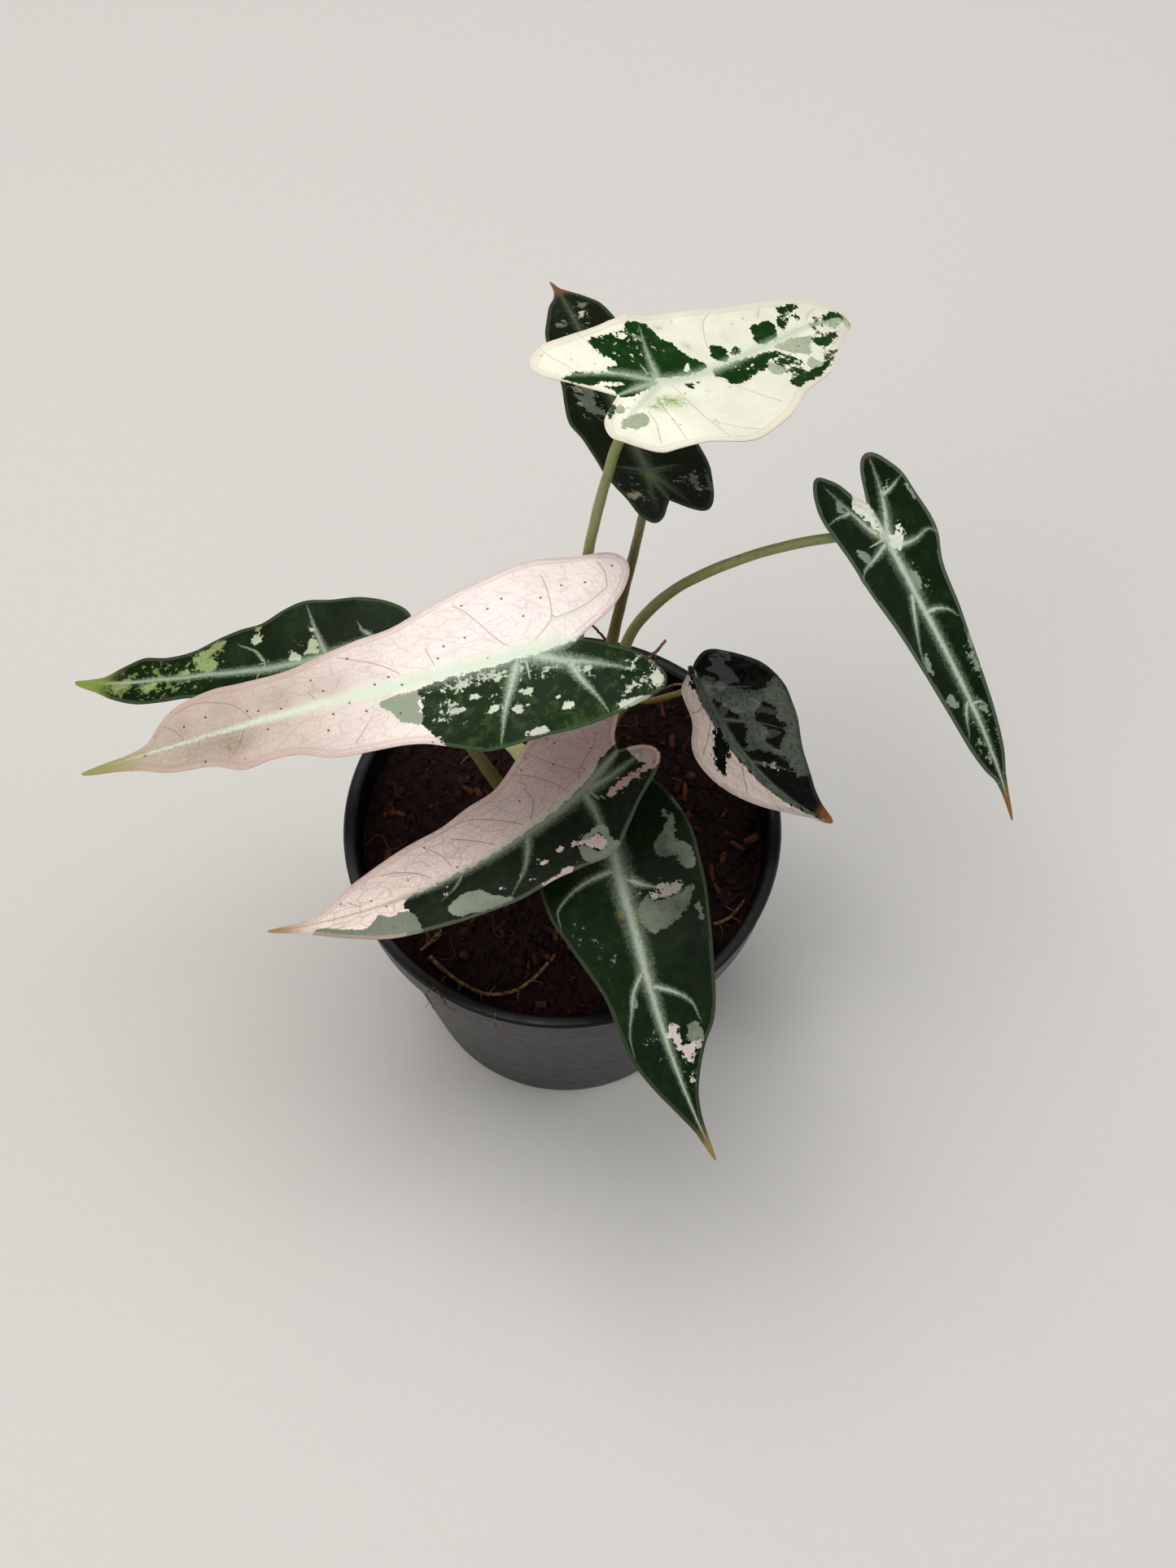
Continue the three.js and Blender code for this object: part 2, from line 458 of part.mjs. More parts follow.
// The whole filling as one lumpy body, with plain holes for the crown, stalks, shoot and roots.
function soilBody(hollows) {
  const rings = 10;
  const sectors = 40;
  const positions = [0, 0, soilHeight(0, 0)];
  const triangles = [];
  const bottom = FLOOR_TOP + GAP;
  const edgeTop = soilHeight(0, 0) + 3;
  for (let i = 1; i <= rings; i += 1) {
    for (let j = 0; j < sectors; j += 1) {
      const angle = (2 * Math.PI * j) / sectors;
      const limit = potInside(SOIL_LEVEL) - GAP - 0.1;
      const x = (limit * i * Math.cos(angle)) / rings;
      const y = (limit * i * Math.sin(angle)) / rings;
      positions.push(x, y, Math.min(soilHeight(x, y), edgeTop));
    }
  }
  const footRadius = potInside(bottom + 1.5) - 1.6;
  for (let j = 0; j < sectors; j += 1) {
    const angle = (2 * Math.PI * j) / sectors;
    positions.push(footRadius * Math.cos(angle), footRadius * Math.sin(angle), bottom);
  }
  positions.push(0, 0, bottom);
  const last = positions.length / 3 - 1;
  for (let j = 0; j < sectors; j += 1) {
    const next = (j + 1) % sectors;
    triangles.push(0, 1 + j, 1 + next);
    for (let i = 0; i < rings; i += 1) {
      const a = 1 + i * sectors + j;
      const b = 1 + i * sectors + next;
      triangles.push(a, a + sectors, b + sectors, a, b + sectors, b);
    }
    triangles.push(1 + rings * sectors + j, last, 1 + rings * sectors + next);
  }
  let body = closedBody(positions, triangles);
  const draw = seededDraws(20);
  for (let i = 0; i < 64; i += 1) {
    body = body.add(chipBody(draw));
  }
  for (const hollow of hollows) {
    body = body.subtract(hollow);
  }
  return body;
}

function crownProfile(extra) {
  return [
    [0, CROWN_FLOOR - extra], [CROWN_RADIUS - 5 + extra, CROWN_FLOOR - extra],
    [CROWN_RADIUS + extra, CROWN_FLOOR + 8], [CROWN_RADIUS + extra, CROWN_TOP - 5],
    [CROWN_RADIUS - 1.6 + extra, CROWN_TOP - 1.6 + extra], [CROWN_RADIUS - 5, CROWN_TOP + extra],
    [0, CROWN_TOP + 1 + extra],
  ];
}

// A stalk; grown by extra it is the hole it stands in. Its top is cut to follow the blade's underside.
function stalkBody(name, extra) {
  const stalk = STALKS[name];
  const leaf = LEAVES[name];
  const path = [...stalk.path, leaf.umbo].map((point) => [...point]);
  if (extra > 0) path[0][2] -= extra;
  const body = tubeBody(path, stalk.radius.map((radius) => radius + extra), 8, 12);
  if (extra > 0) return body;
  return body.subtract(bladeBody(leaf, 7, BLADE / 2 + GAP));
}

function largest(body) {
  const pieces = body.decompose();
  pieces.sort((a, b) => b.volume() - a.volume());
  return pieces[0];
}

const group = new THREE.Group();

function addPiece(name, body, finish) {
  const { vertProperties, triVerts } = largest(body).getMesh();
  const geometry = new THREE.BufferGeometry();
  geometry.setAttribute('position', new THREE.BufferAttribute(new Float32Array(vertProperties), 3));
  geometry.setIndex(new THREE.BufferAttribute(new Uint32Array(triVerts), 1));
  geometry.computeVertexNormals();
  const mesh = new THREE.Mesh(geometry, new THREE.MeshStandardMaterial(finish));
  mesh.name = name;
  group.add(mesh);
}

const stalkNames = Object.keys(STALKS);
const shoot = tubeBody(SHOOT_PATH, SHOOT_RADIUS, 9, 10);
const shootHole = tubeBody(SHOOT_PATH, SHOOT_RADIUS.map((radius) => radius + GAP), 9, 10)
  .translate([0, 0, -GAP]);
const crownSockets = stalkNames.filter((name) => name !== 'folded').map((name) => stalkBody(name, GAP));
let crown = latheBody(crownProfile(0), 28);
for (const socket of [...crownSockets, shootHole]) {
  crown = crown.subtract(socket);
}
const rootHollows = Object.values(ROOTS).map((root) => tubeBody(root.path, [root.radius + GAP, root.radius + GAP],
  5, 10));
const stalkHoles = stalkNames.map((name) => stalkBody(name, GAP));

addPiece('pot', potBody(), PLASTIC);
addPiece('soil', soilBody([latheBody(crownProfile(GAP), 28), ...stalkHoles, shootHole, ...rootHollows]), SOIL);
addPiece('crown', crown, STALK);
for (const name of stalkNames) {
  addPiece(`stalk_${name}`, stalkBody(name, 0), STALK);
}
for (const [name, leaf] of Object.entries(LEAVES)) {
  addPiece(`blade_${name}`, bladeBody(leaf, BLADE / 2, BLADE / 2), leaf.finish);
}
addPiece('young_shoot', shoot, SHOOT);
for (const [name, root] of Object.entries(ROOTS)) {
  addPiece(name, tubeBody(root.path, [root.radius, root.radius * 0.7], 5, 10), ROOT);
}

export default group;
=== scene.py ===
"""Looks of a potted, pink variegated alocasia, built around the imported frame.

All sizes are in millimetres until a mesh is written in metres. Every leaf is laid out flat first, as
distance along its midrib (u) and distance to the left of it (v), where its ribs, veins and patches of
tissue are drawn, and is then bent to the place that the frame gives it.
"""

from __future__ import annotations

import logging
import math
from dataclasses import dataclass, replace
from enum import Enum
from functools import partial
from typing import Callable, Iterable, Sequence

import bpy
import numpy as np
from mathutils import Euler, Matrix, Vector, noise

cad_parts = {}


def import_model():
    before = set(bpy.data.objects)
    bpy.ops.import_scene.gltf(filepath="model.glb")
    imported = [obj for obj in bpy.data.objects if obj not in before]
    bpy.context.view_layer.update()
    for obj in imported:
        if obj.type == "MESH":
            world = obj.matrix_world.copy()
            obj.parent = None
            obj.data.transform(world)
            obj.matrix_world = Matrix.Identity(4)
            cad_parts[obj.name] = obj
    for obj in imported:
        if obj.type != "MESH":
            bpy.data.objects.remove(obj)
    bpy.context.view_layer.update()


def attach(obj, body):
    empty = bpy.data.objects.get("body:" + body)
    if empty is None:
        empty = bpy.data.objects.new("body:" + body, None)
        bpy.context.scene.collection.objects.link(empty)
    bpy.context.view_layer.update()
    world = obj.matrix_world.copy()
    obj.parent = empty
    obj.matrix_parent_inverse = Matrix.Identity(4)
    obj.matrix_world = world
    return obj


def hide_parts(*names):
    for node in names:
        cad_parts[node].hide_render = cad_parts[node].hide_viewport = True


logging.basicConfig(level=logging.INFO, format="%(message)s")
LOG = logging.getLogger("alocasia")

MM = 0.001
BODY = "root"

# Kinds of node that recur: a soft step, a product, a product plus a third value, the larger of two.
SOFT_STEP, TIMES = "MapRange.SMOOTHSTEP", "Math.MULTIPLY"
TIMES_PLUS, LARGER = "Math.MULTIPLY_ADD", "Math.MAXIMUM"
FAR = 9.0  # Half widths from a rib, or millimetres from a vein, past which neither shows.
SOIL_LEVEL = 88.5  # Height of the potting mix in millimetres.
FULL_TURN = 6.28  # Radians, for the random turns of what is strewn.

Point = tuple[float, ...]
Socket = bpy.types.NodeSocket
Object = bpy.types.Object
Nodes = Callable[..., Socket]
Seen = dict[str, Socket]


# Small tools


def linear(code: str) -> tuple[float, float, float, float]:
    """Turns an sRGB hex colour to linear RGBA.

    Args:
        code: The hex colour, such as #a0b1c2.

    Returns:
        The linear colour, each part from 0 to 1.
    """
    parts = [int(code[i:i + 2], 16) / 255 for i in (1, 3, 5)]
    red, green, blue = (c / 12.92 if c <= 0.04045 else ((c + 0.055) / 1.055) ** 2.4 for c in parts)
    return (red, green, blue, 1.0)


def add_node(tree: bpy.types.NodeTree, kind: str, *values: object, out: int | str = 0,
             stops: dict[float, str] | None = None, **details: object) -> Socket:
    """Adds a node with its settings and links.

    Args:
        tree: The node tree that gets the node.
        kind: The node's type, without the ShaderNode that it starts with; after a dot, how it works.
        values: What feeds its first inputs, each a socket, a constant or a hex colour; None leaves one.
        out: The output that is wanted, by name or number.
        stops: The hex colours of a colour ramp, by their places from 0 to 1.
        details: Its other inputs, by name with _ for a space, and its settings, in small letters.

    Returns:
        The wanted output socket, or None from a node that has none.
    """
    name, _, mode = kind.partition(".")
    node = tree.nodes.new(f"ShaderNode{name}")
    if mode:
        details["interpolation_type" if name == "MapRange" else "operation"] = mode
    inputs = dict(enumerate(values))
    for key, value in details.items():
        if key[0].isupper():
            inputs[key.replace("_", " ")] = value
        else:
            setattr(node, key, value)
    for key, value in inputs.items():
        if isinstance(value, Socket):
            tree.links.new(value, node.inputs[key])
        elif value is not None:
            node.inputs[key].default_value = linear(value) if isinstance(value, str) else value
    if stops:
        ramp = node.color_ramp.elements
        ramp.remove(ramp[1])
        for i, (place, code) in enumerate(stops.items()):
            stop = ramp.new(place) if i else ramp[0]
            stop.position, stop.color = place, linear(code)
    return node.outputs[out] if node.outputs else None


def new_material(name: str) -> tuple[bpy.types.Material, Nodes]:
    """Makes an empty node material.

    Args:
        name: The material's name.

    Returns:
        The material, and what adds nodes to it.
    """
    material = bpy.data.materials.new(name)
    material.use_nodes = True
    material.node_tree.nodes.clear()
    return material, partial(add_node, material.node_tree)


def painted(node: Nodes, under: Socket | str, layers: Iterable[tuple[Socket, Socket | str]]) -> Socket:
    """Lays colours over each other.

    Args:
        node: Adds nodes to the material.
        under: The lowest colour.
        layers: Pairs of mask and colour, from the lowest to the highest.

    Returns:
        The colour on top.
    """
    for mask, colour in layers:
        under = node("Mix", mask, *[None] * 5, under, colour, out=2, data_type="RGBA")
    return under


def close_material(node: Nodes, colour: Socket, height: Socket, depth: float, **shader: object) -> None:
    """Ends a material with its surface shader.

    Args:
        node: Adds nodes to the material.
        colour: The base colour.
        height: Height of the fine relief, from 0 to 1.
        depth: What a height of 1 stands for, in millimetres.
        shader: Other inputs of the shader, with _ for a space in their names.
    """
    normal = node("Bump", Height=height, Distance=depth * MM, Strength=1.0)
    node("OutputMaterial", Surface=node("BsdfPrincipled", Base_Color=colour, Normal=normal, **shader))


def deselect() -> None:
    """Leaves edit mode and deselects every object."""
    if bpy.context.object and bpy.context.object.mode != "OBJECT":
        bpy.ops.object.mode_set(mode="OBJECT")
    bpy.ops.object.select_all(action="DESELECT")


def choose(*pieces: Object) -> None:
    """Selects these pieces alone and makes the first one active.

    Args:
        pieces: The pieces.
    """
    deselect()
    for piece in pieces:
        piece.select_set(True)
    bpy.context.view_layer.objects.active = pieces[0]


def named(name: str) -> Object:
    """Names the object that was just added, with its mesh.

    Args:
        name: The name.

    Returns:
        The object.
    """
    piece = bpy.context.object
    piece.name = name
    piece.data.name = name
    return piece


def joined(name: str, pieces: Sequence[Object]) -> Object:
    """Joins pieces into one and names it.

    Args:
        name: The name of the whole.
        pieces: The pieces.

    Returns:
        The whole.
    """
    choose(*pieces)
    if len(pieces) > 1:
        bpy.ops.object.join()
    return named(name)


def close_outwards() -> None:
    """Turns all normals of the mesh in edit mode outwards, and leaves edit mode."""
    bpy.ops.mesh.select_all(action="SELECT")
    bpy.ops.mesh.normals_make_consistent(inside=False)
    bpy.ops.object.mode_set(mode="OBJECT")


def coordinates(piece: Object) -> np.ndarray:
    """Reads a mesh's corner positions.

    Args:
        piece: The object.

    Returns:
        The positions as rows of x, y, z.
    """
    flat = np.empty(len(piece.data.vertices) * 3)
    piece.data.vertices.foreach_get("co", flat)
    return flat.reshape(-1, 3)


def move_to(piece: Object, positions: np.ndarray) -> None:
    """Writes a mesh's corner positions, given as rows of x, y, z."""
    piece.data.vertices.foreach_set("co", positions.astype(np.float32).ravel())
    piece.data.update()


def pick(piece: Object, mask: np.ndarray) -> None:
    """Enters edit mode with only the masked corners of a mesh selected.

    Args:
        piece: The object.
        mask: Whether each corner is selected.
    """
    bpy.context.view_layer.objects.active = piece
    bpy.context.tool_settings.mesh_select_mode = (True, False, False)
    if piece.mode != "OBJECT":
        bpy.ops.object.mode_set(mode="OBJECT")
    for part in (piece.data.polygons, piece.data.edges):
        part.foreach_set("select", np.zeros(len(part), dtype=bool))
    piece.data.vertices.foreach_set("select", mask.astype(bool))
    bpy.ops.object.mode_set(mode="EDIT")


def write_field(piece: Object, name: str, values: np.ndarray) -> None:
    """Stores one number or vector a corner as a mesh attribute.

    Args:
        piece: The object.
        name: The attribute's name.
        values: A number, or a row of three, for each corner.
    """
    vector = values.ndim == 2
    layer = piece.data.attributes.new(name, "FLOAT_VECTOR" if vector else "FLOAT", "POINT")
    layer.data.foreach_set("vector" if vector else "value", values.astype(np.float32).ravel())


def add_modifier(piece: Object, kind: str, **settings: object) -> None:
    """Adds a modifier with its settings and applies it.

    Args:
        piece: The object.
        kind: The modifier's type.
        settings: Its settings.
    """
    choose(piece)
    modifier = piece.modifiers.new(kind.lower(), kind)
    for name, value in settings.items():
        setattr(modifier, name, value)
    bpy.ops.object.modifier_apply(modifier=modifier.name)


def smooth_shade(piece: Object, degrees: float = 180.0) -> None:
    """Shades a piece smooth, with edges sharper than the angle left crisp."""
    choose(piece)
    bpy.ops.object.shade_smooth_by_angle(angle=math.radians(degrees))


def finish_piece(piece: Object, materials: Sequence[bpy.types.Material], slot: str, *nodes: str) -> None:
    """Gives a piece its materials and its body, and hides the frame nodes that it stands for.

    Args:
        piece: The finished piece.
        materials: Its materials, in the order of its faces' numbers.
        slot: Not used.
        nodes: The frame nodes that it replaces, if any.
    """
    piece.data.materials.clear()
    for material in materials:
        piece.data.materials.append(material)
    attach(piece, BODY)
    if nodes:
        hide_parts(*nodes)
    LOG.info("%s: %d faces", piece.name, len(piece.data.polygons))


def pts(text: str) -> np.ndarray:
    """Rows of numbers written as text: numbers parted by spaces, rows by commas."""
    return np.array([[float(number) for number in row.split()] for row in text.split(",") if row])


def items(text: str) -> list[tuple[list[str], np.ndarray]]:
    """Reads items parted by semicolons: what stands before each one's colon, if any, and its rows."""
    parts = [item.rpartition(":") for item in text.split(";") if item.strip()]
    return [(head.split(), pts(rows)) for head, _, rows in parts]


def spline(points: np.ndarray, closed: bool = False, steps: int = 6) -> np.ndarray:
    """Smooth line through points.

    Args:
        points: The points it passes, one a row.
        closed: Whether it comes back to its start.
        steps: Straight steps between two points.

    Returns:
        The line's points, one a row; a closed line ends on its first point.
    """
    if closed:
        ring = np.vstack([points[-1:], points, points[:2]])
    else:
        ring = np.vstack([2 * points[:1] - points[1:2], points, 2 * points[-1:] - points[-2:-1]])
    a, b, c, d = ring[:-3, None], ring[1:-2, None], ring[2:-1, None], ring[3:, None]
    t = np.arange(steps)[None, :, None] / steps
    line = 0.5 * (2 * b + (c - a) * t + (2 * a - 5 * b + 4 * c - d) * t ** 2
                  + (3 * b - a - 3 * c + d) * t ** 3)
    return np.vstack([line.reshape(-1, ring.shape[1]), ring[-2:-1]])


def cubic(t: np.ndarray, a: np.ndarray, b: np.ndarray, leave: np.ndarray, reach: np.ndarray) -> np.ndarray:
    """Cubic from a to b, at t from 0 to 1, which leaves a and reaches b with the given slopes."""
    return ((2 * t ** 3 - 3 * t ** 2 + 1) * a + (t ** 3 - 2 * t ** 2 + t) * leave
            + (3 * t ** 2 - 2 * t ** 3) * b + (t ** 3 - t ** 2) * reach)


def travelled(line: np.ndarray) -> np.ndarray:
    """Distance along a line to each of its points."""
    return np.concatenate([[0], np.cumsum(np.linalg.norm(np.diff(line, axis=0), axis=1))])


def nearest_on(line: np.ndarray, points: np.ndarray) -> tuple[np.ndarray, np.ndarray]:
    """Measures points against a line.

    Args:
        line: The line's points, one a row.
        points: The points to measure.

    Returns:
        The distance, positive to the left of the line, and how far along the line from 0 to 1 it is met.
    """
    start = line[:-1]
    run = line[1:] - start
    offset = points[:, None, :] - start[None]
    squares = np.maximum((run ** 2).sum(1), 1e-12)
    t = np.clip((offset * run).sum(2) / squares, 0, 1)
    gap = np.linalg.norm(offset - t[..., None] * run, axis=2)
    k = gap.argmin(1)
    rows = np.arange(len(points))
    side = run[k, 0] * offset[rows, k, 1] - run[k, 1] * offset[rows, k, 0]
    before = travelled(line)
    along = (before[k] + t[rows, k] * np.sqrt(squares)[k]) / before[-1]
    return gap[rows, k] * np.where(side < 0, -1, 1), along


def inside_depth(outline: np.ndarray, points: np.ndarray, reach: float = 4.0) -> np.ndarray:
    """Measures points against a closed outline.

    Args:
        outline: Its points, one a row, the last like the first.
        points: The points to measure.
        reach: How far outside it is measured.

    Returns:
        The distance from the outline, positive inside it.
    """
    depth = np.full(len(points), -reach)
    near = ((points > outline.min(0) - reach) & (points < outline.max(0) + reach)).all(1)
    if not near.any():
        return depth
    local = points[near]
    a, b = outline[:-1], outline[1:]
    crosses = (a[None, :, 1] > local[:, None, 1]) != (b[None, :, 1] > local[:, None, 1])
    rise = np.where(b[:, 1] == a[:, 1], 1e-9, b[:, 1] - a[:, 1])
    met = a[:, 0] + (local[:, None, 1] - a[:, 1]) * (b[:, 0] - a[:, 0]) / rise
    within = (crosses & (local[:, None, 0] < met)).sum(1) % 2 == 1
    gap = np.abs(nearest_on(outline, local)[0])
    depth[near] = np.maximum(np.where(within, gap, -gap), -reach)
    return depth


def waviness(points: np.ndarray, size: float, seed: float = 0.0) -> np.ndarray:
    """Smooth noise from -1 to 1 at points, with lumps of about the given size in millimetres."""
    return np.array([noise.noise(Vector((*(p / size), 0)[:3]) + Vector((seed, seed, seed))) for p in points])


# Leaf blades


class Tissue(Enum):
    """What a patch of a blade is made of."""

    PALE = "pale"
    DARK = "dark"
    SAGE = "sage"


@dataclass(frozen=True)
class Half:
    """Outline and lift of one half of a blade: its margins as points (u and distance from the midrib),
    fold and cup in degrees, and its edge wave as height, length and phase."""

    outer: str
    inner: str
    fold: float
    cup: float
    wave: Point


@dataclass(frozen=True)
class Markings:
    """What grows on one blade, as texts; semicolons part the patches, ribs, veins and ripples.

    A patch is its tissue and outline, a rib its half widths at its start and end and its points, a
    ripple its width, depth and line, a vein its points. The midrib is u and half width, its shift u and
    v. Stains, speckled areas and tones are blots, each u, v, how long and wide it is, and its strength.
    The tones lighten and darken the tissue: mostly painted shade in hollows and on sides turned from the
    light, and painted sheen; in places the tissue's own tone.
    """

    base: Tissue
    midrib: str
    patches: str = ""
    ribs: str = ""
    veins: str = ""
    stains: str = ""
    ripples: str = ""
    speckles: str = ""
    # Tone blots: mostly painted shade and painted sheen, in places the tissue's own tone.
    tones: str = ""
    midrib_shift: str = "0 0, 100 0"


def curve_height(table: np.ndarray, x: np.ndarray, bend: Callable[[np.ndarray], np.ndarray]) -> np.ndarray:
    """Smooth curve through points, as the frame's own blades have it.

    Args:
        table: Points with x rising.
        x: Where the curve is wanted.
        bend: What bends the x scale, so that the curve's ends stay round.

    Returns:
        The curve's height at each x.
    """
    xs, ys = bend(table[:, 0]), table[:, 1]
    target = bend(x)
    k = np.clip(np.searchsorted(xs, target) - 1, 0, len(xs) - 2)
    before = np.maximum(np.arange(len(xs)) - 1, 0)
    after = np.minimum(np.arange(len(xs)) + 1, len(xs) - 1)
    slope = (ys[after] - ys[before]) / (xs[after] - xs[before])
    span = xs[k + 1] - xs[k]
    t = np.clip((target - xs[k]) / span, 0, 1)
    return np.maximum(cubic(t, ys[k], ys[k + 1], span * slope[k], span * slope[k + 1]), 0)


@dataclass(frozen=True)
class LeafShape:
    """Form of one blade: where it meets its stalk, how it is turned along its midrib, and its halves."""

    umbo: Point
    length: float
    heading: Point
    pitch: Point
    roll: Point
    sinus: float
    skew: float
    left: Half
    right: Half
    cup_width: float = 20.0

    def margins(self, half: Half, u: np.ndarray) -> tuple[np.ndarray, np.ndarray]:
        """Inner and outer margin of a half.

        Args:
            half: The half.
            u: Distances along the midrib.

        Returns:
            How far each margin is from the midrib at each u.
        """

        def margin(text: str, full: float) -> np.ndarray:
            """One margin.

            Args:
                text: The margin's points.
                full: 2 where both of its ends are round, 1 where only the first is.

            Returns:
                Its distance from the midrib at each u.
            """
            table = pts(text)
            low, high = table[0, 0], table[-1, 0]
            return curve_height(
                table, u, lambda x: np.arccos(1 - full * np.clip((x - low) / (high - low), 0, 1)))

        return np.where(u < -self.sinus - 1e-9, margin(half.inner, 1), 0.0), margin(half.outer, 2)

    def directions(self, u: np.ndarray) -> tuple[np.ndarray, np.ndarray, np.ndarray]:
        """Which way the blade faces along its midrib.

        Args:
            u: Distances along the midrib.

        Returns:
            Unit vectors forward, left and up, one a row.
        """
        t = np.clip(u / self.length, 0, 1.2)

        def through(values: Point) -> np.ndarray:
            """Parabola through the values at umbo, middle and tip, in radians."""
            a, b, c = (math.radians(value) for value in values)
            return a * (1 - t) * (1 - 2 * t) + 4 * b * t * (1 - t) + c * t * (2 * t - 1)

        pitch, heading = through(self.pitch), through(self.heading)
        roll = np.radians(self.roll[0] + (self.roll[1] - self.roll[0]) * t)[:, None]
        sine, cosine = np.sin(heading), np.cos(heading)
        forward = np.stack([np.cos(pitch) * cosine, np.cos(pitch) * sine, np.sin(pitch)], 1)
        level = np.stack([-sine, cosine, np.zeros_like(heading)], 1)
        raised = np.cross(forward, level)
        left = level * np.cos(roll) + raised * np.sin(roll)
        return forward, left, raised * np.cos(roll) - level * np.sin(roll)

    def midrib(self, u: np.ndarray) -> np.ndarray:
        """Points on the midrib, found by walking along it from the umbo.

        Args:
            u: Distances along the midrib.

        Returns:
            The points, one a row.
        """
        steps = 40
        point = np.tile(np.array(self.umbo, dtype=float), (len(u), 1))
        for i in range(steps):
            point += self.directions(u * (i + 0.5) / steps)[0] * (u / steps)[:, None]
        return point

    def surface(self, u: np.ndarray, v: np.ndarray) -> np.ndarray:
        """Points of the blade's middle surface.

        Args:
            u: Distances along the midrib.
            v: Distances to the left of it.

        Returns:
            The points, one a row.
        """
        _, left, up = self.directions(u)
        reach = np.abs(v) / self.cup_width
        on_left = v >= 0

        def either(pick_value: Callable[[Half], float]) -> np.ndarray:
            """A half's value, for the half that each point lies on."""
            return np.where(on_left, pick_value(self.left), pick_value(self.right))

        rise = np.radians(either(lambda half: half.fold) + either(lambda half: half.cup) * reach)
        size, length, phase = (either(lambda half: half.wave[k]) for k in range(3))
        wave = size * np.sin(2 * np.pi * u / length + np.radians(phase)) * reach ** 2
        lift = np.abs(v) * np.sin(rise) + wave
        return self.midrib(u) + left * (v * np.cos(rise))[:, None] + up * lift[:, None]

    def normal(self, u: np.ndarray, v: np.ndarray) -> np.ndarray:
        """Unit normals of the middle surface, towards the upper side.

        Args:
            u: Distances along the midrib.
            v: Distances to the left of it.

        Returns:
            The normals, one a row.
        """
        step = 0.4
        along = self.surface(u + step, v) - self.surface(u - step, v)
        across = self.surface(u, v + step) - self.surface(u, v - step)
        cross = np.cross(along, across)
        return cross / np.linalg.norm(cross, axis=1, keepdims=True)


FIELDS = ("pale", "sage", "rib", "rib_gap", "rib_fade", "vein", "vein_gap", "mid", "edge", "stain", "speckle",
          "tone")
# Lumps of noise in the tissue, in millimetres: lighter clouds, torn patch edges in two sizes, powder.
LUMPS = {"cloud": 9, "tear": 2.5, "nick": 0.8, "grain": 0.45}


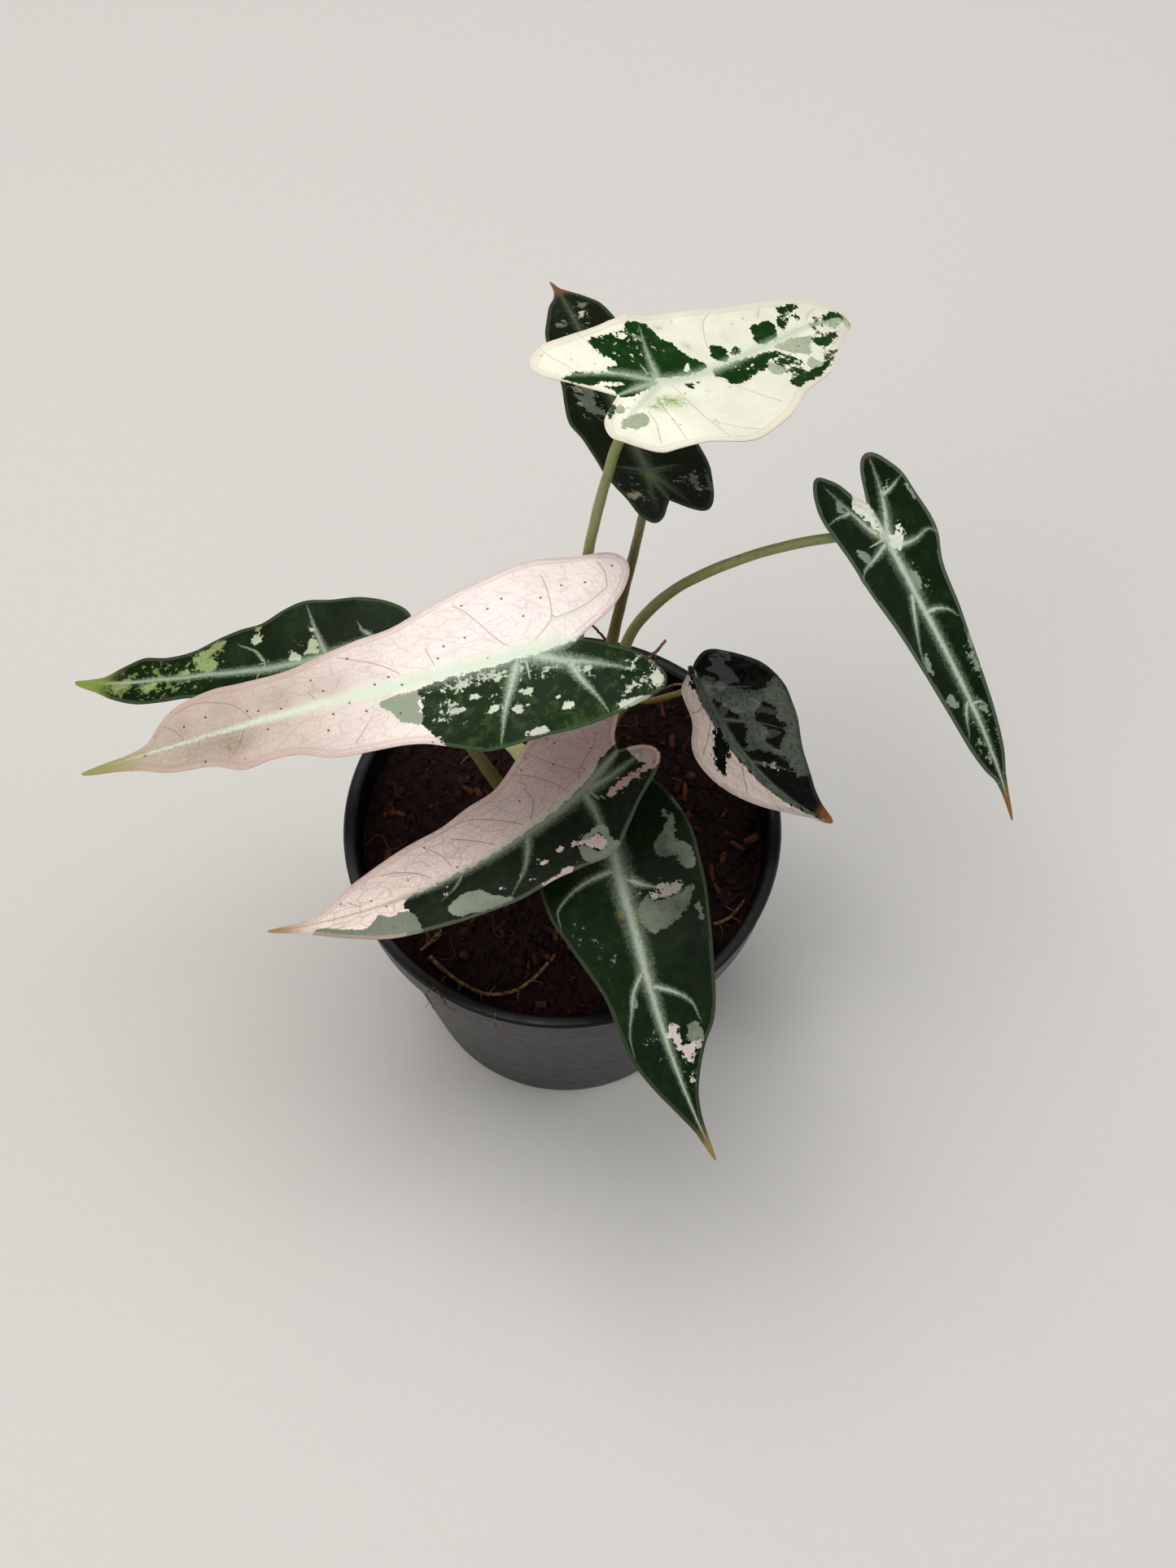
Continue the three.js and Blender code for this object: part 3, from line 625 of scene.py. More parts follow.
@dataclass(frozen=True)
class LeafSkin:
    """Living leaf tissue under a waxy cuticle, grown, not made.

    The cuticle gives pale tissue a soft sheen and green tissue a deeper gloss. Ribs are dusted with
    silver, which fades into the tissue beside them; thin veins in pale tissue read as mauve lines.
    """

    pale: str = "#f6e8e0"
    pale_far: str = "#ead9cc"
    far_from: float = 40
    far_to: float = 100
    dark: str = "#14290d"
    light: str = "#2c4a1b"
    mottle: float = 0.5
    sage: str = "#6f7c66"
    sage_dark: str = "#5a6652"
    silver: str = "#8b9a80"
    core: str = "#bcc9b3"
    rib_on_pale: str = "#dfe6d0"
    rib_strength: float = 0.85
    core_strength: float = 0.45
    fleck: str = "#b9c4a8"
    vein: str = "#9a7f74"
    vein_strength: float = 0.75
    net: float = 0.3
    stain: str = "#6f6440"
    pricks: float = 0.4
    margin: str = "#d3b7aa"
    margin_on_dark: str = "#5c6955"
    margin_strength: float = 0.5
    margin_width: float = 0.26
    tail: str = "#8a7a58"
    tail_from: float = 90
    tail_to: float = 110
    ragged: float = 1.0
    islands: float = 0.9
    pale_roughness: float = 0.5
    dark_roughness: float = 0.42
    gloss: float = 0.08
    coat: float = 0.0
    crumple: float = 0.35
    depth: float = 0.07
    margin_vein: float = 1.1

    def underside(self) -> LeafSkin:
        """The same blade from below: dull purple and dusty pink, with green ribs, rougher and with no coat.

        Returns:
            The look of the underside.
        """
        return replace(self, pale="#c9ac9f", pale_far="#bfa294", dark="#4a3336", light="#54403a",
                       sage="#75605c", sage_dark="#6a5552", silver="#6f6a52", core="#7f8a5c",
                       rib_on_pale="#b3b187", vein="#8d6a62", net=0.4, fleck="#9a8078", margin="#8b6d64",
                       margin_on_dark="#6b5650", dark_roughness=0.5, pale_roughness=0.55, coat=0.0)

    def patches(self, node: Nodes, see: Seen) -> None:
        """Adds where tissue is pale, sage or flecked to what is seen on the blade.

        Patches are torn at their edges, and break up into islands where the blade is speckled. Flecks
        are 0.5 to 3 mm wide, in clusters.

        Args:
            node: Adds nodes to the material.
            see: What is seen at each place of the blade, by name.
        """
        torn = node(TIMES_PLUS, see["nick"], 2.6, node(TIMES_PLUS, see["tear"], 3.6, -3.1))
        torn = node(TIMES, torn, node(TIMES_PLUS, see["speckle"], self.islands, self.ragged))
        see["is_pale"] = node(SOFT_STEP, node("Math", see["pale"], torn), -0.06, 0.06)
        see["is_sage"] = node(SOFT_STEP, node(TIMES_PLUS, torn, 0.7, see["sage"]), -0.12, 0.14)
        dust = node("TexNoise", Vector=see["leaf_mm"], Scale=0.6, Detail=4.0, Roughness=0.7)
        dust = node("MapRange", node(TIMES_PLUS, see["speckle"], 0.2, dust), 0.7, 0.72)
        see["flecked"] = node(TIMES, dust, node(SOFT_STEP, see["speckle"], 0.02, 0.1))

    def lines(self, node: Nodes, see: Seen) -> Socket:
        """Mask of the thin veins in pale tissue: a net, those drawn, and one along the margin.

        Args:
            node: Adds nodes to the material.
            see: What is seen at each place of the blade, by name.

        Returns:
            The mask.
        """
        sway = node("TexNoise", Vector=see["leaf_mm"], Scale=0.35, out="Color")
        # Meshes 2.4 mm wide, drawn out between the ribs, and even ones of 1.1 mm in them.
        meshes = []
        for start, scale, bend, reach, share in ((see["net_mm"], 0.42, 0.7, 0.06, 0.8),
                                                 (see["leaf_mm"], 0.9, 0.6, 0.1, 0.6)):
            bent = node("VectorMath.MULTIPLY_ADD", sway, (bend, bend, 0.0), start)
            gap = node("TexVoronoi", Vector=bent, Scale=scale, out="Distance", feature="DISTANCE_TO_EDGE")
            meshes.append(node(SOFT_STEP, gap, reach, 0.0, 0.0, share * self.net))
        on_vein = node(SOFT_STEP, node("Math.ABSOLUTE", see["vein"]), 0.27, 0.06, 0.0, self.vein_strength)
        on_vein = node(TIMES, on_vein, node(SOFT_STEP, see["vein_gap"], 0.2, 0.1))
        inset = node("Math.ABSOLUTE", node("Math", see["edge"], -self.margin_vein))
        inset = node(SOFT_STEP, inset, 0.24, 0.04, 0.0, 0.6 * self.vein_strength)
        drawn = node(LARGER, node(LARGER, *meshes), on_vein)
        return node(TIMES, node(LARGER, drawn, inset), see["is_pale"])

    def powder(self, node: Nodes, see: Seen) -> list[Socket]:
        """Masks of the silver powder on the ribs: a wide glow, grainy at its sides, and a bright line.

        Args:
            node: Adds nodes to the material.
            see: What is seen at each place of the blade, by name.

        Returns:
            The masks of the glow and of the line.
        """
        powder = node(TIMES_PLUS, see["grain"], 1.8, node(TIMES_PLUS, see["nick"], 1.6, -1.7))
        rib = node("Math", node("Math.ABSOLUTE", see["rib"]), see["rib_fade"])
        near_rib = node(SOFT_STEP, see["rib_gap"], 2.4, 2.0)
        masks = []
        for grain, reach, strength in ((1.0, 1.9, self.rib_strength), (0.35, 0.8, self.core_strength)):
            bands = []
            for gap, near in ((rib, near_rib), (see["mid"], 1.0)):
                grainy = node(TIMES_PLUS, powder, grain, gap)
                band = node(SOFT_STEP, grainy, reach, 0.0, 0.0, strength)
                bands.append(node(TIMES, band, near))
            masks.append(node(LARGER, *bands))
        return masks

    def material(self, name: str) -> bpy.types.Material:
        """Makes the blade's material, which reads the fields drawn on the blade.

        Args:
            name: The material's name.

        Returns:
            The material.
        """
        material, node = new_material(name)
        see = {label: node("Attribute", out="Fac", attribute_name=label) for label in FIELDS}
        see |= {label: node("Attribute", out="Vector", attribute_name=label)
                for label in ("leaf_mm", "net_mm")}
        place, along = see["leaf_mm"], node("SeparateXYZ", see["leaf_mm"], out="X")
        see |= {label: node("TexNoise", Vector=place, Scale=1 / size, Detail=3.0, Roughness=0.6)
                for label, size in LUMPS.items()}
        self.patches(node, see)
        is_pale = see["is_pale"]
        lines = self.lines(node, see)
        glow, line = self.powder(node, see)

        mottled = node(SOFT_STEP, see["tear"], 0.46, 0.7, 0.0, self.mottle)
        far = node(SOFT_STEP, along, self.far_from, self.far_to)
        sage = painted(node, self.sage, [(node(SOFT_STEP, see["nick"], 0.5, 0.64, 0.0, 0.6),
                                          self.sage_dark)])
        tissue = painted(node, self.dark, [
            (mottled, self.light), (see["flecked"], self.fleck),
            (is_pale, painted(node, self.pale, [(far, self.pale_far)])),
            (lines, self.vein), (see["is_sage"], sage)])
        # Green tissue is lighter and darker in clouds, pale tissue hardly; the tone blots add painted shade
        # and painted sheen.
        swing = node(TIMES_PLUS, is_pale, -0.22, 0.3)
        cloud = node("Math", node(SOFT_STEP, see["cloud"], 0.3, 0.7), -0.5)
        value = node("Math", node(TIMES_PLUS, cloud, swing, 1.0), see["tone"])
        lit = node("HueSaturation", Value=value, Color=tissue)
        # Dark pinpricks about 0.6 mm across, one in each field of 7 mm, where clouds let them.
        prick = node("TexVoronoi", Vector=place, Scale=0.14, voronoi_dimensions="2D")
        prick = node(TIMES, node("MapRange", prick, 0.055, 0.035, 0.0, self.pricks),
                     node("MapRange", see["cloud"], 0.47, 0.49))
        stained = node(TIMES, see["stain"], node(SOFT_STEP, see["nick"], 0.2, 0.75))
        on_margin = node(SOFT_STEP, see["edge"], self.margin_width, 0.06, 0.0, self.margin_strength)
        tail = node(TIMES_PLUS, see["tear"], 8.0, along)
        colour = painted(node, lit, [
            (glow, painted(node, self.silver, [(is_pale, self.rib_on_pale)])),
            (line, self.core),
            (node(TIMES, prick, is_pale), "#3f2c1e"),
            (stained, self.stain),
            (on_margin, painted(node, self.margin_on_dark, [(is_pale, self.margin)])),
            (node(SOFT_STEP, tail, self.tail_from + 4, self.tail_to + 4), self.tail)])

        height = node(TIMES_PLUS, see["tear"], self.crumple, node(TIMES, see["grain"], 0.3))
        height = node(TIMES_PLUS, lines, -0.8, height)
        roughness = node(TIMES_PLUS, is_pale, self.pale_roughness - self.dark_roughness,
                         self.dark_roughness - 0.06)
        close_material(node, colour, height, self.depth, IOR=1.45, Specular_IOR_Level=self.gloss,
                       Roughness=node(TIMES_PLUS, see["grain"], 0.12, roughness),
                       Coat_Weight=self.coat, Coat_Roughness=0.06, Subsurface_Weight=0.06,
                       Subsurface_Radius=(0.9, 0.6, 0.35), Subsurface_Scale=MM)
        return material


@dataclass(frozen=True)
class Blade:
    """One leaf blade: a thin sheet with a rib under it, drawn flat and bent to its place."""

    name: str
    slot: str
    shape: LeafShape
    marks: Markings
    skin: LeafSkin
    pitch: float = 0.62
    lobe_rows: int = 26
    half_thickness: float = 0.3
    ridge: float = 1.3
    ridge_width: float = 1.4
    side_ridge: float = 0.35
    deepest: float = 2.4
    puckers: float = 0.2
    rib_hollow: float = 0.16
    vein_hollow: float = 0.07

    def rows(self, half: Half) -> np.ndarray:
        """Places the rows of a half's grid, closer together at its ends.

        Args:
            half: The half.

        Returns:
            The distance along the midrib of each row, from the lobe end to the tip.
        """
        lobe_end = pts(half.outer)[0, 0]
        sinus = self.shape.sinus
        steps = np.arange(self.lobe_rows, 0, -1) / self.lobe_rows
        lobe = lobe_end + (-sinus - lobe_end) * (1 - np.sin(np.pi / 2 * steps))
        full = self.shape.length + sinus
        count = int(full / self.pitch / 1.25)
        t = np.arange(count + 1) / count
        return np.concatenate([lobe, -sinus + full * (0.5 * t + 0.5 * np.sin(np.pi / 2 * t))])

    def half_sheet(self, half: Half, sign: int) -> Object:
        """Flat sheet of one half, from a grid whose rows are moved out to the margins.

        Args:
            half: The half.
            sign: 1 for the left half, -1 for the right.

        Returns:
            The flat sheet.
        """
        u = self.rows(half)
        inner, outer = self.shape.margins(half, u)
        columns = int(max(outer) / self.pitch) + 5
        deselect()
        bpy.ops.mesh.primitive_grid_add(x_subdivisions=columns - 1, y_subdivisions=len(u) - 1, size=1)
        sheet = named(f"{self.name}_half_{'left' if sign > 0 else 'right'}")
        across = 1 - (1 - np.arange(columns) / (columns - 1)) ** 1.3
        width = inner[:, None] + (outer - inner)[:, None] * across[None]
        shift = np.where(u < 0, self.shape.skew * u, 0)[:, None]
        flat = np.stack([np.repeat(u[:, None], columns, 1), sign * width + shift, np.zeros_like(width)], 2)
        move_to(sheet, flat.reshape(-1, 3) * MM)
        return sheet

    def flat_sheet(self) -> Object:
        """Both halves as one flat sheet, welded along the midrib and at lobe ends and tip.

        Returns:
            The sheet.
        """
        right = self.half_sheet(self.shape.right, -1)
        sheet = joined(self.name, [self.half_sheet(self.shape.left, 1), right])
        uv = coordinates(sheet) / MM
        ends = [pts(self.shape.left.outer)[0, 0], pts(self.shape.right.outer)[0, 0], self.shape.length]
        on_midrib = np.abs(uv[:, 1] - self.shape.skew * np.minimum(uv[:, 0], 0)) < 1e-3
        pick(sheet, on_midrib | (np.abs(uv[:, :1] - np.array(ends)) < 1e-3).any(1))
        bpy.ops.mesh.remove_doubles(threshold=2e-6)
        bpy.ops.mesh.select_all(action="SELECT")
        bpy.ops.mesh.dissolve_degenerate(threshold=1e-7)
        close_outwards()
        if sheet.data.polygons[len(sheet.data.polygons) // 2].normal.z < 0:
            sheet.data.flip_normals()
        return sheet

    def outline(self) -> np.ndarray:
        """The blade's outline, from its notch round the left half and back.

        Returns:
            Its points as rows of u, v.
        """
        parts = []
        for half, sign in ((self.shape.left, 1), (self.shape.right, -1)):
            u = self.rows(half)
            inner, outer = self.shape.margins(half, u)
            shift = np.where(u < 0, self.shape.skew * u, 0)
            lobe = u <= -self.shape.sinus
            rim = np.stack([u, sign * outer + shift], 1)
            notch = np.stack([u, sign * inner + shift], 1)[lobe][::-1]
            parts.append(np.vstack([notch, rim]))
        return np.vstack([parts[0], parts[1][::-1]])

    def ribs_at(self, uv: np.ndarray) -> dict[str, np.ndarray]:
        """Measures points of the sheet against the ribs.

        Args:
            uv: Points of the sheet.

        Returns:
            The fields rib, the signed distance of the nearest rib in half widths; rib_gap, the same
            unsigned less half a millimetre; rib_fade, which grows along the rib; and plain, the distance
            in millimetres.
        """
        signed, loose, fade, plain = (np.full(len(uv), value) for value in (FAR, FAR, 0.0, FAR))
        for (start, end), points in items(self.marks.ribs):
            line = spline(points)
            side = 1 if line[:, 1].sum() >= 0 else -1
            rows = np.flatnonzero(uv[:, 1] * side > -0.7)
            gap, along = nearest_on(line, uv[rows])
            width = float(start) + (float(end) - float(start)) * along
            nearer = np.abs(gap) / width < np.abs(signed[rows])
            signed[rows] = np.where(nearer, gap / width, signed[rows])
            fade[rows] = np.where(nearer, 0.7 * along ** 1.5, fade[rows])
            loose[rows] = np.minimum(loose[rows], (np.abs(gap) - 0.5) / width)
            plain[rows] = np.minimum(plain[rows], np.abs(gap))
        return {"rib": np.clip(signed, -FAR, FAR), "rib_gap": loose, "rib_fade": fade, "plain": plain}

    def draw(self, sheet: Object) -> tuple[np.ndarray, np.ndarray]:
        """Writes the markings as fields of the flat sheet.

        Args:
            sheet: The flat sheet.

        Returns:
            The sheet's points as rows of u, v, and how far each one sinks below the smooth blade.
        """
        uv = coordinates(sheet)[:, :2] / MM
        u, v = uv.T
        pale = np.full(len(uv), 8.0 if self.marks.base is Tissue.PALE else -8.0)
        sage = np.full(len(uv), -4.0)
        for (tissue,), points in items(self.marks.patches):
            depth = inside_depth(spline(points, True, 4), uv)
            if Tissue(tissue) is Tissue.SAGE:
                sage = np.maximum(sage, depth)
                continue
            sage = np.minimum(sage, -depth)
            pale = np.maximum(pale, depth) if Tissue(tissue) is Tissue.PALE else np.minimum(pale, -depth)
        ribs = self.ribs_at(uv)
        rib_distance = ribs.pop("plain")
        vein = np.full(len(uv), FAR)
        for _, points in items(self.marks.veins):
            gap = nearest_on(spline(points), uv)[0]
            vein = np.where(np.abs(gap) < np.abs(vein), gap, vein)
        band = pts(self.marks.midrib)
        shift = pts(self.marks.midrib_shift)
        middle = np.interp(u, shift[:, 0], shift[:, 1]) + self.shape.skew * np.minimum(u, 0)
        half_width = np.interp(u, band[:, 0], band[:, 1])
        edge = inside_depth(self.outline(), uv, 60)

        def blots(text: str, power: int) -> np.ndarray:
            """Soft blots.

            Args:
                text: Their u, v, length, width and strength.
                power: 2 for soft edges, more for firmer ones.

            Returns:
                The strength at each point of the sheet.
            """
            total = np.zeros(len(uv))
            for at_u, at_v, long, wide, strength in pts(text):
                blot = strength * np.exp(-((u - at_u) / long) ** power - ((v - at_v) / wide) ** power)
                total = np.where(np.abs(blot) > np.abs(total), blot, total)
            return total

        seed = float(sum(map(ord, self.name)) % 97)
        # The net's places: out from the umbo or midrib, and across that, where meshes are 3 times as long.
        reach = np.where(u < 0, np.hypot(u, v), np.abs(v))
        round_umbo = np.where(u < 0, -np.arctan2(-u, np.abs(v)) * reach, u)
        fields = {
            "leaf_mm": np.column_stack([uv, np.full(len(uv), seed)]),
            "net_mm": np.column_stack([(round_umbo - 0.7 * reach) * 0.36, reach, np.full(len(uv), seed)]),
            "pale": pale, "sage": sage, "vein": vein, **ribs,
            "vein_gap": np.abs(vein) - 0.5, "mid": np.abs(v - middle) / np.maximum(half_width, 0.05),
            "edge": np.maximum(edge, 0), "stain": blots(self.marks.stains, 2),
            "speckle": blots(self.marks.speckles, 4), "tone": blots(self.marks.tones, 2),
        }
        for label, values in fields.items():
            write_field(sheet, label, values)
        hollow = (self.rib_hollow * np.exp(-(rib_distance / 0.9) ** 2)
                  + self.vein_hollow * np.exp(-(vein / 0.5) ** 2))
        puckers = self.puckers * (waviness(uv, 7.0, seed) + 0.4 * waviness(uv, 2.8, seed))
        for (width, depth), points in items(self.marks.ripples):
            gap, along = nearest_on(points, uv)
            hollow += (float(depth) * np.exp(-(gap / float(width)) ** 2)
                       * np.sin(np.pi * np.clip(along, 0.02, 0.98)))
        calm = np.clip(edge / 3, 0.25, 1)
        return uv, (hollow - puckers) * calm

    def build(self) -> Object:
        """Makes the blade, bent to its place, with its thickness, rib and materials.

        Returns:
            The blade.
        """
        sheet = self.flat_sheet()
        uv, sink = self.draw(sheet)
        u, v = uv.T
        middle = self.shape.surface(u, v)
        normal = self.shape.normal(u, v)
        move_to(sheet, (middle + normal * (self.half_thickness - sink)[:, None]) * MM)
        to_tip = np.clip(1 - u / self.shape.length, 0, 1)
        fade = to_tip ** 0.6 * np.where(u < 0, np.exp(u / 6), 1)
        rib = self.ridge * fade * np.exp(-(v / self.ridge_width) ** 2)
        side_rib = self.side_ridge * np.exp(-(self.ribs_at(uv)["plain"] / 0.7) ** 2) * to_tip
        edge = inside_depth(self.outline(), uv, 60)
        thin = np.clip(edge / 1.2, 0.45, 1)
        weight = (2 * self.half_thickness * thin + rib + side_rib) / self.deepest
        group = sheet.vertex_groups.new(name="thickness")
        for index, value in enumerate(np.clip(weight, 0, 1).tolist()):
            group.add([index], value, "REPLACE")
        add_modifier(sheet, "SOLIDIFY", thickness=self.deepest * MM, offset=-1, vertex_group="thickness",
                     material_offset=1, material_offset_rim=0, use_rim=True)
        sheet.vertex_groups.clear()
        smooth_shade(sheet)
        finish_piece(sheet, [self.skin.material(f"waxy leaf tissue, {self.name}"),
                             self.skin.underside().material(f"dull leaf underside, {self.name}")],
                     self.slot, f"blade_{self.name.removeprefix('leaf_')}")
        return sheet


# Tubes: stalks, shoot and roots


def centripetal(points: np.ndarray, samples: int) -> np.ndarray:
    """Smooth path through points, as the frame's own stalks run.

    Args:
        points: The points it passes, one a row.
        samples: How many points it is sampled at, evenly along its length.

    Returns:
        The path's points, one a row.
    """
    ring = np.vstack([2 * points[:1] - points[1:2], points, 2 * points[-1:] - points[-2:-1]])
    t = np.arange(40)[:, None] / 40
    line = []
    for a, b, c, d in zip(ring[:-3], ring[1:-2], ring[2:-1], ring[3:]):
        first, mid, last = (max(math.sqrt(np.linalg.norm(q - p)), 1e-4) for p, q in ((a, b), (b, c), (c, d)))
        leave = ((b - a) / first - (c - a) / (first + mid) + (c - b) / mid) * mid
        reach = ((c - b) / mid - (d - b) / (mid + last) + (d - c) / last) * mid
        line.append(cubic(t, b, c, leave, reach))
    dense = np.vstack([*line, ring[-2:-1]])
    length = travelled(dense)
    wanted = np.linspace(0, length[-1], samples)
    return np.stack([np.interp(wanted, length, dense[:, k]) for k in range(3)], 1)


def carried_axes(path: np.ndarray) -> tuple[np.ndarray, np.ndarray]:
    """Two directions across a path, carried along it without twist.

    Args:
        path: Points along the path.

    Returns:
        The two unit vectors at each point, one a row.
    """
    run = np.gradient(path, axis=0)
    run /= np.linalg.norm(run, axis=1, keepdims=True)
    side = np.cross(run[0], [0.0, 1.0, 0.1])
    sides = []
    for direction in run:
        side = side - direction * side.dot(direction)
        side = side / np.linalg.norm(side)
        sides.append(side)
    return np.array(sides), np.cross(run, np.array(sides))


def tube(name: str, path: np.ndarray, radius: Callable[[np.ndarray, np.ndarray], np.ndarray],
         sides: int) -> Object:
    """Makes a closed tube: a cylinder is cut into rings, which are moved onto the path.

    Args:
        name: The object's name.
        path: Points along the middle, one ring each, in millimetres.
        radius: Gives the radius for how far along (0 to 1) and for the angle round the path.
        sides: Corners of a ring.

    Returns:
        The tube, with its rings' distance along and place across as the field stalk_mm.
    """
    deselect()
    bpy.ops.mesh.primitive_cylinder_add(vertices=sides, radius=1, depth=1, end_fill_type="NGON",
                                        location=(0, 0, 0.5))
    piece = named(name)
    bpy.ops.object.transform_apply(location=True)
    pick(piece, np.zeros(len(piece.data.vertices)))
    bpy.context.tool_settings.mesh_select_mode = (False, True, False)
    bpy.ops.object.mode_set(mode="OBJECT")
    z = coordinates(piece)[:, 2]
    for edge in piece.data.edges:
        low, high = edge.vertices
        edge.select = bool(abs(z[low] - z[high]) > 0.5)
    bpy.ops.object.mode_set(mode="EDIT")
    bpy.ops.mesh.subdivide(number_cuts=len(path) - 2)
    bpy.ops.object.mode_set(mode="OBJECT")
    x, y, z = coordinates(piece).T
    ring = np.rint(z * (len(path) - 1)).astype(int)
    angle = np.arctan2(y, x)
    size = radius(ring / (len(path) - 1), angle)
    sides_at, backs_at = carried_axes(path)
    across, back = np.cos(angle) * size, np.sin(angle) * size
    move_to(piece, (path[ring] + sides_at[ring] * across[:, None] + backs_at[ring] * back[:, None]) * MM)
    write_field(piece, "stalk_mm", np.column_stack([across, back, travelled(path)[ring]]))
    write_field(piece, "along", ring / (len(path) - 1))
    bpy.ops.object.mode_set(mode="EDIT")
    close_outwards()
    smooth_shade(piece, 60)
    return piece


@dataclass(frozen=True)
class StalkSkin:
    """Living leaf stalk, smooth and waxy: olive green, paler where the light falls, with brown flecks."""

    foot: str = "#5d5a33"
    middle: str = "#7f8148"
    top: str = "#8d9460"
    fleck: str = "#5a4428"
    fleck_share: float = 0.5
    roughness: float = 0.42

    def material(self, name: str) -> bpy.types.Material:
        """Makes the stalk's material.

        Args:
            name: The material's name.

        Returns:
            The material.
        """
        material, node = new_material(name)
        place = node("Attribute", out="Vector", attribute_name="stalk_mm")
        along = node("Attribute", out="Fac", attribute_name="along")
        # Flecks are about 0.6 mm wide and 2.6 mm long: the pattern is drawn out along the stalk.
        drawn = node("Mapping", place, Scale=(1.5, 1.5, 0.35))
        flecks = node("TexNoise", Vector=drawn, Scale=1.1, Detail=3.0, Roughness=0.6)
        streaks = node("TexNoise", Vector=drawn, Scale=3.5, Detail=1.0)
        # Darker at the foot and paler towards the top: painted shade low down and painted light higher up.
        green = node("ValToRGB", along, stops={0.0: self.foot, 0.3: self.middle, 1.0: self.top})
        lit = node("HueSaturation", Color=green, Value=node("MapRange", streaks, 0.0, 1.0, 0.75, 1.25))
        marked = node(SOFT_STEP, flecks, 0.56, 0.68, 0.0, self.fleck_share)
        colour = painted(node, lit, [(marked, self.fleck)])
        close_material(node, colour, streaks, 0.05, Roughness=self.roughness, IOR=1.45,
                       Specular_IOR_Level=0.35)
        return material


@dataclass(frozen=True)
class Stalk:
    """One leaf stalk: thick and channelled where it leaves the crown, thin at its blade."""

    name: str
    path: str
    radius: Point
    umbo: Point
    skin: StalkSkin = StalkSkin()
    sides: int = 20
    rings: int = 90
    sheath: float = 0.2
    short_of_blade: float = 0.9

    def build(self) -> Object:
        """Makes the stalk, with the groove of its sheath on the side of the crown.

        Returns:
            The stalk.
        """
        line = centripetal(np.vstack([pts(self.path), self.umbo]), self.rings + 8)
        line = line[np.linalg.norm(line - np.array(self.umbo), axis=1) > self.short_of_blade]
        knots = np.linspace(0, 1, len(self.radius))

        def radius(t: np.ndarray, angle: np.ndarray) -> np.ndarray:
            """Radius with the sheath's groove and slight swellings.

            Args:
                t: How far along, from 0 to 1.
                angle: The angle round the stalk.

            Returns:
                The radius.
            """
            groove = 0.3 * np.clip(1 - t / self.sheath, 0, 1) * np.exp(-((angle - 0.4) / 0.45) ** 2)
            swell = 0.02 * np.sin(t * 37) + 0.015 * np.sin(t * 83 + 3 * angle)
            return np.interp(t, knots, self.radius) * (1 + swell - groove)

        piece = tube(self.name, line, radius, self.sides)
        finish_piece(piece, [self.skin.material(f"waxy leaf stalk, {self.name}")], "stalk_tissue",
                     self.name.replace("petiole", "stalk"))
        return piece


@dataclass(frozen=True)
class Shoot:
    """The newest leaf, still rolled to a pale spike with its margin running round it."""

    path: str
    radius: Point
    sides: int = 40
    rings: int = 70
    turns: float = 0.9
    lap: float = 0.16

    def material(self) -> bpy.types.Material:
        """Young rolled leaf, thin and waxy: pale yellow green, which lets some light in.

        Returns:
            The material.
        """
        material, node = new_material("waxy rolled young leaf")
        place = node("Attribute", out="Vector", attribute_name="stalk_mm")
        along = node("Attribute", out="Fac", attribute_name="along")
        veins = node("TexNoise", Vector=node("Mapping", place, Scale=(1.0, 1.0, 0.2)), Scale=1.6, Detail=2.0)
        green = node("ValToRGB", along, stops={0.0: "#8d8a4c", 0.4: "#c6c77c", 1.0: "#dfe0a6"})
        colour = painted(node, green, [(node("MapRange", veins, 0.5, 0.7, 0.0, 0.5), "#eef0cf")])
        close_material(node, colour, veins, 0.08, Roughness=0.4, IOR=1.45, Subsurface_Weight=0.1,
                       Subsurface_Radius=(0.9, 0.7, 0.3), Subsurface_Scale=MM)
        return material

    def build(self) -> Object:
        """Makes the spike: a tube whose radius steps where the rolled margin laps over.

        Returns:
            The spike.
        """
        knots = np.linspace(0, 1, len(self.radius))

        def radius(t: np.ndarray, angle: np.ndarray) -> np.ndarray:
            """Radius that grows round the roll and drops at the lapped margin.

            Args:
                t: How far along, from 0 to 1.
                angle: The angle round the shoot.

            Returns:
                The radius.
            """
            round_roll = np.mod(angle / (2 * np.pi) - self.turns * t, 1.0)
            tip = np.clip((1 - t) / 0.06, 0.25, 1) ** 0.6
            return np.interp(t, knots, self.radius) * (1 - self.lap * (1 - round_roll)) * tip

        piece = tube("new_shoot", centripetal(pts(self.path), self.rings), radius, self.sides)
        finish_piece(piece, [self.material()], "young_shoot", "young_shoot")
        return piece


@dataclass(frozen=True)
class RootSkin:
    """Dry aerial root, rough and corky: tan, with darker grit stuck along it."""

    tan: str = "#835c38"
    grit: str = "#3c2416"

    def material(self, name: str) -> bpy.types.Material:
        """Makes the root's material.

        Args:
            name: The material's name.

        Returns:
            The material.
        """
        material, node = new_material(name)
        place = node("TexCoord", out="Object")
        # Grit of about 1 mm; a noise scale of 1000 is one lump a millimetre.
        grit = node("TexNoise", Vector=place, Scale=900.0, Detail=3.0)
        browns = node("ValToRGB", grit, stops={0.42: self.tan, 0.62: self.grit})
        close_material(node, browns, grit, 0.15, Roughness=0.85, IOR=1.45)
        return material


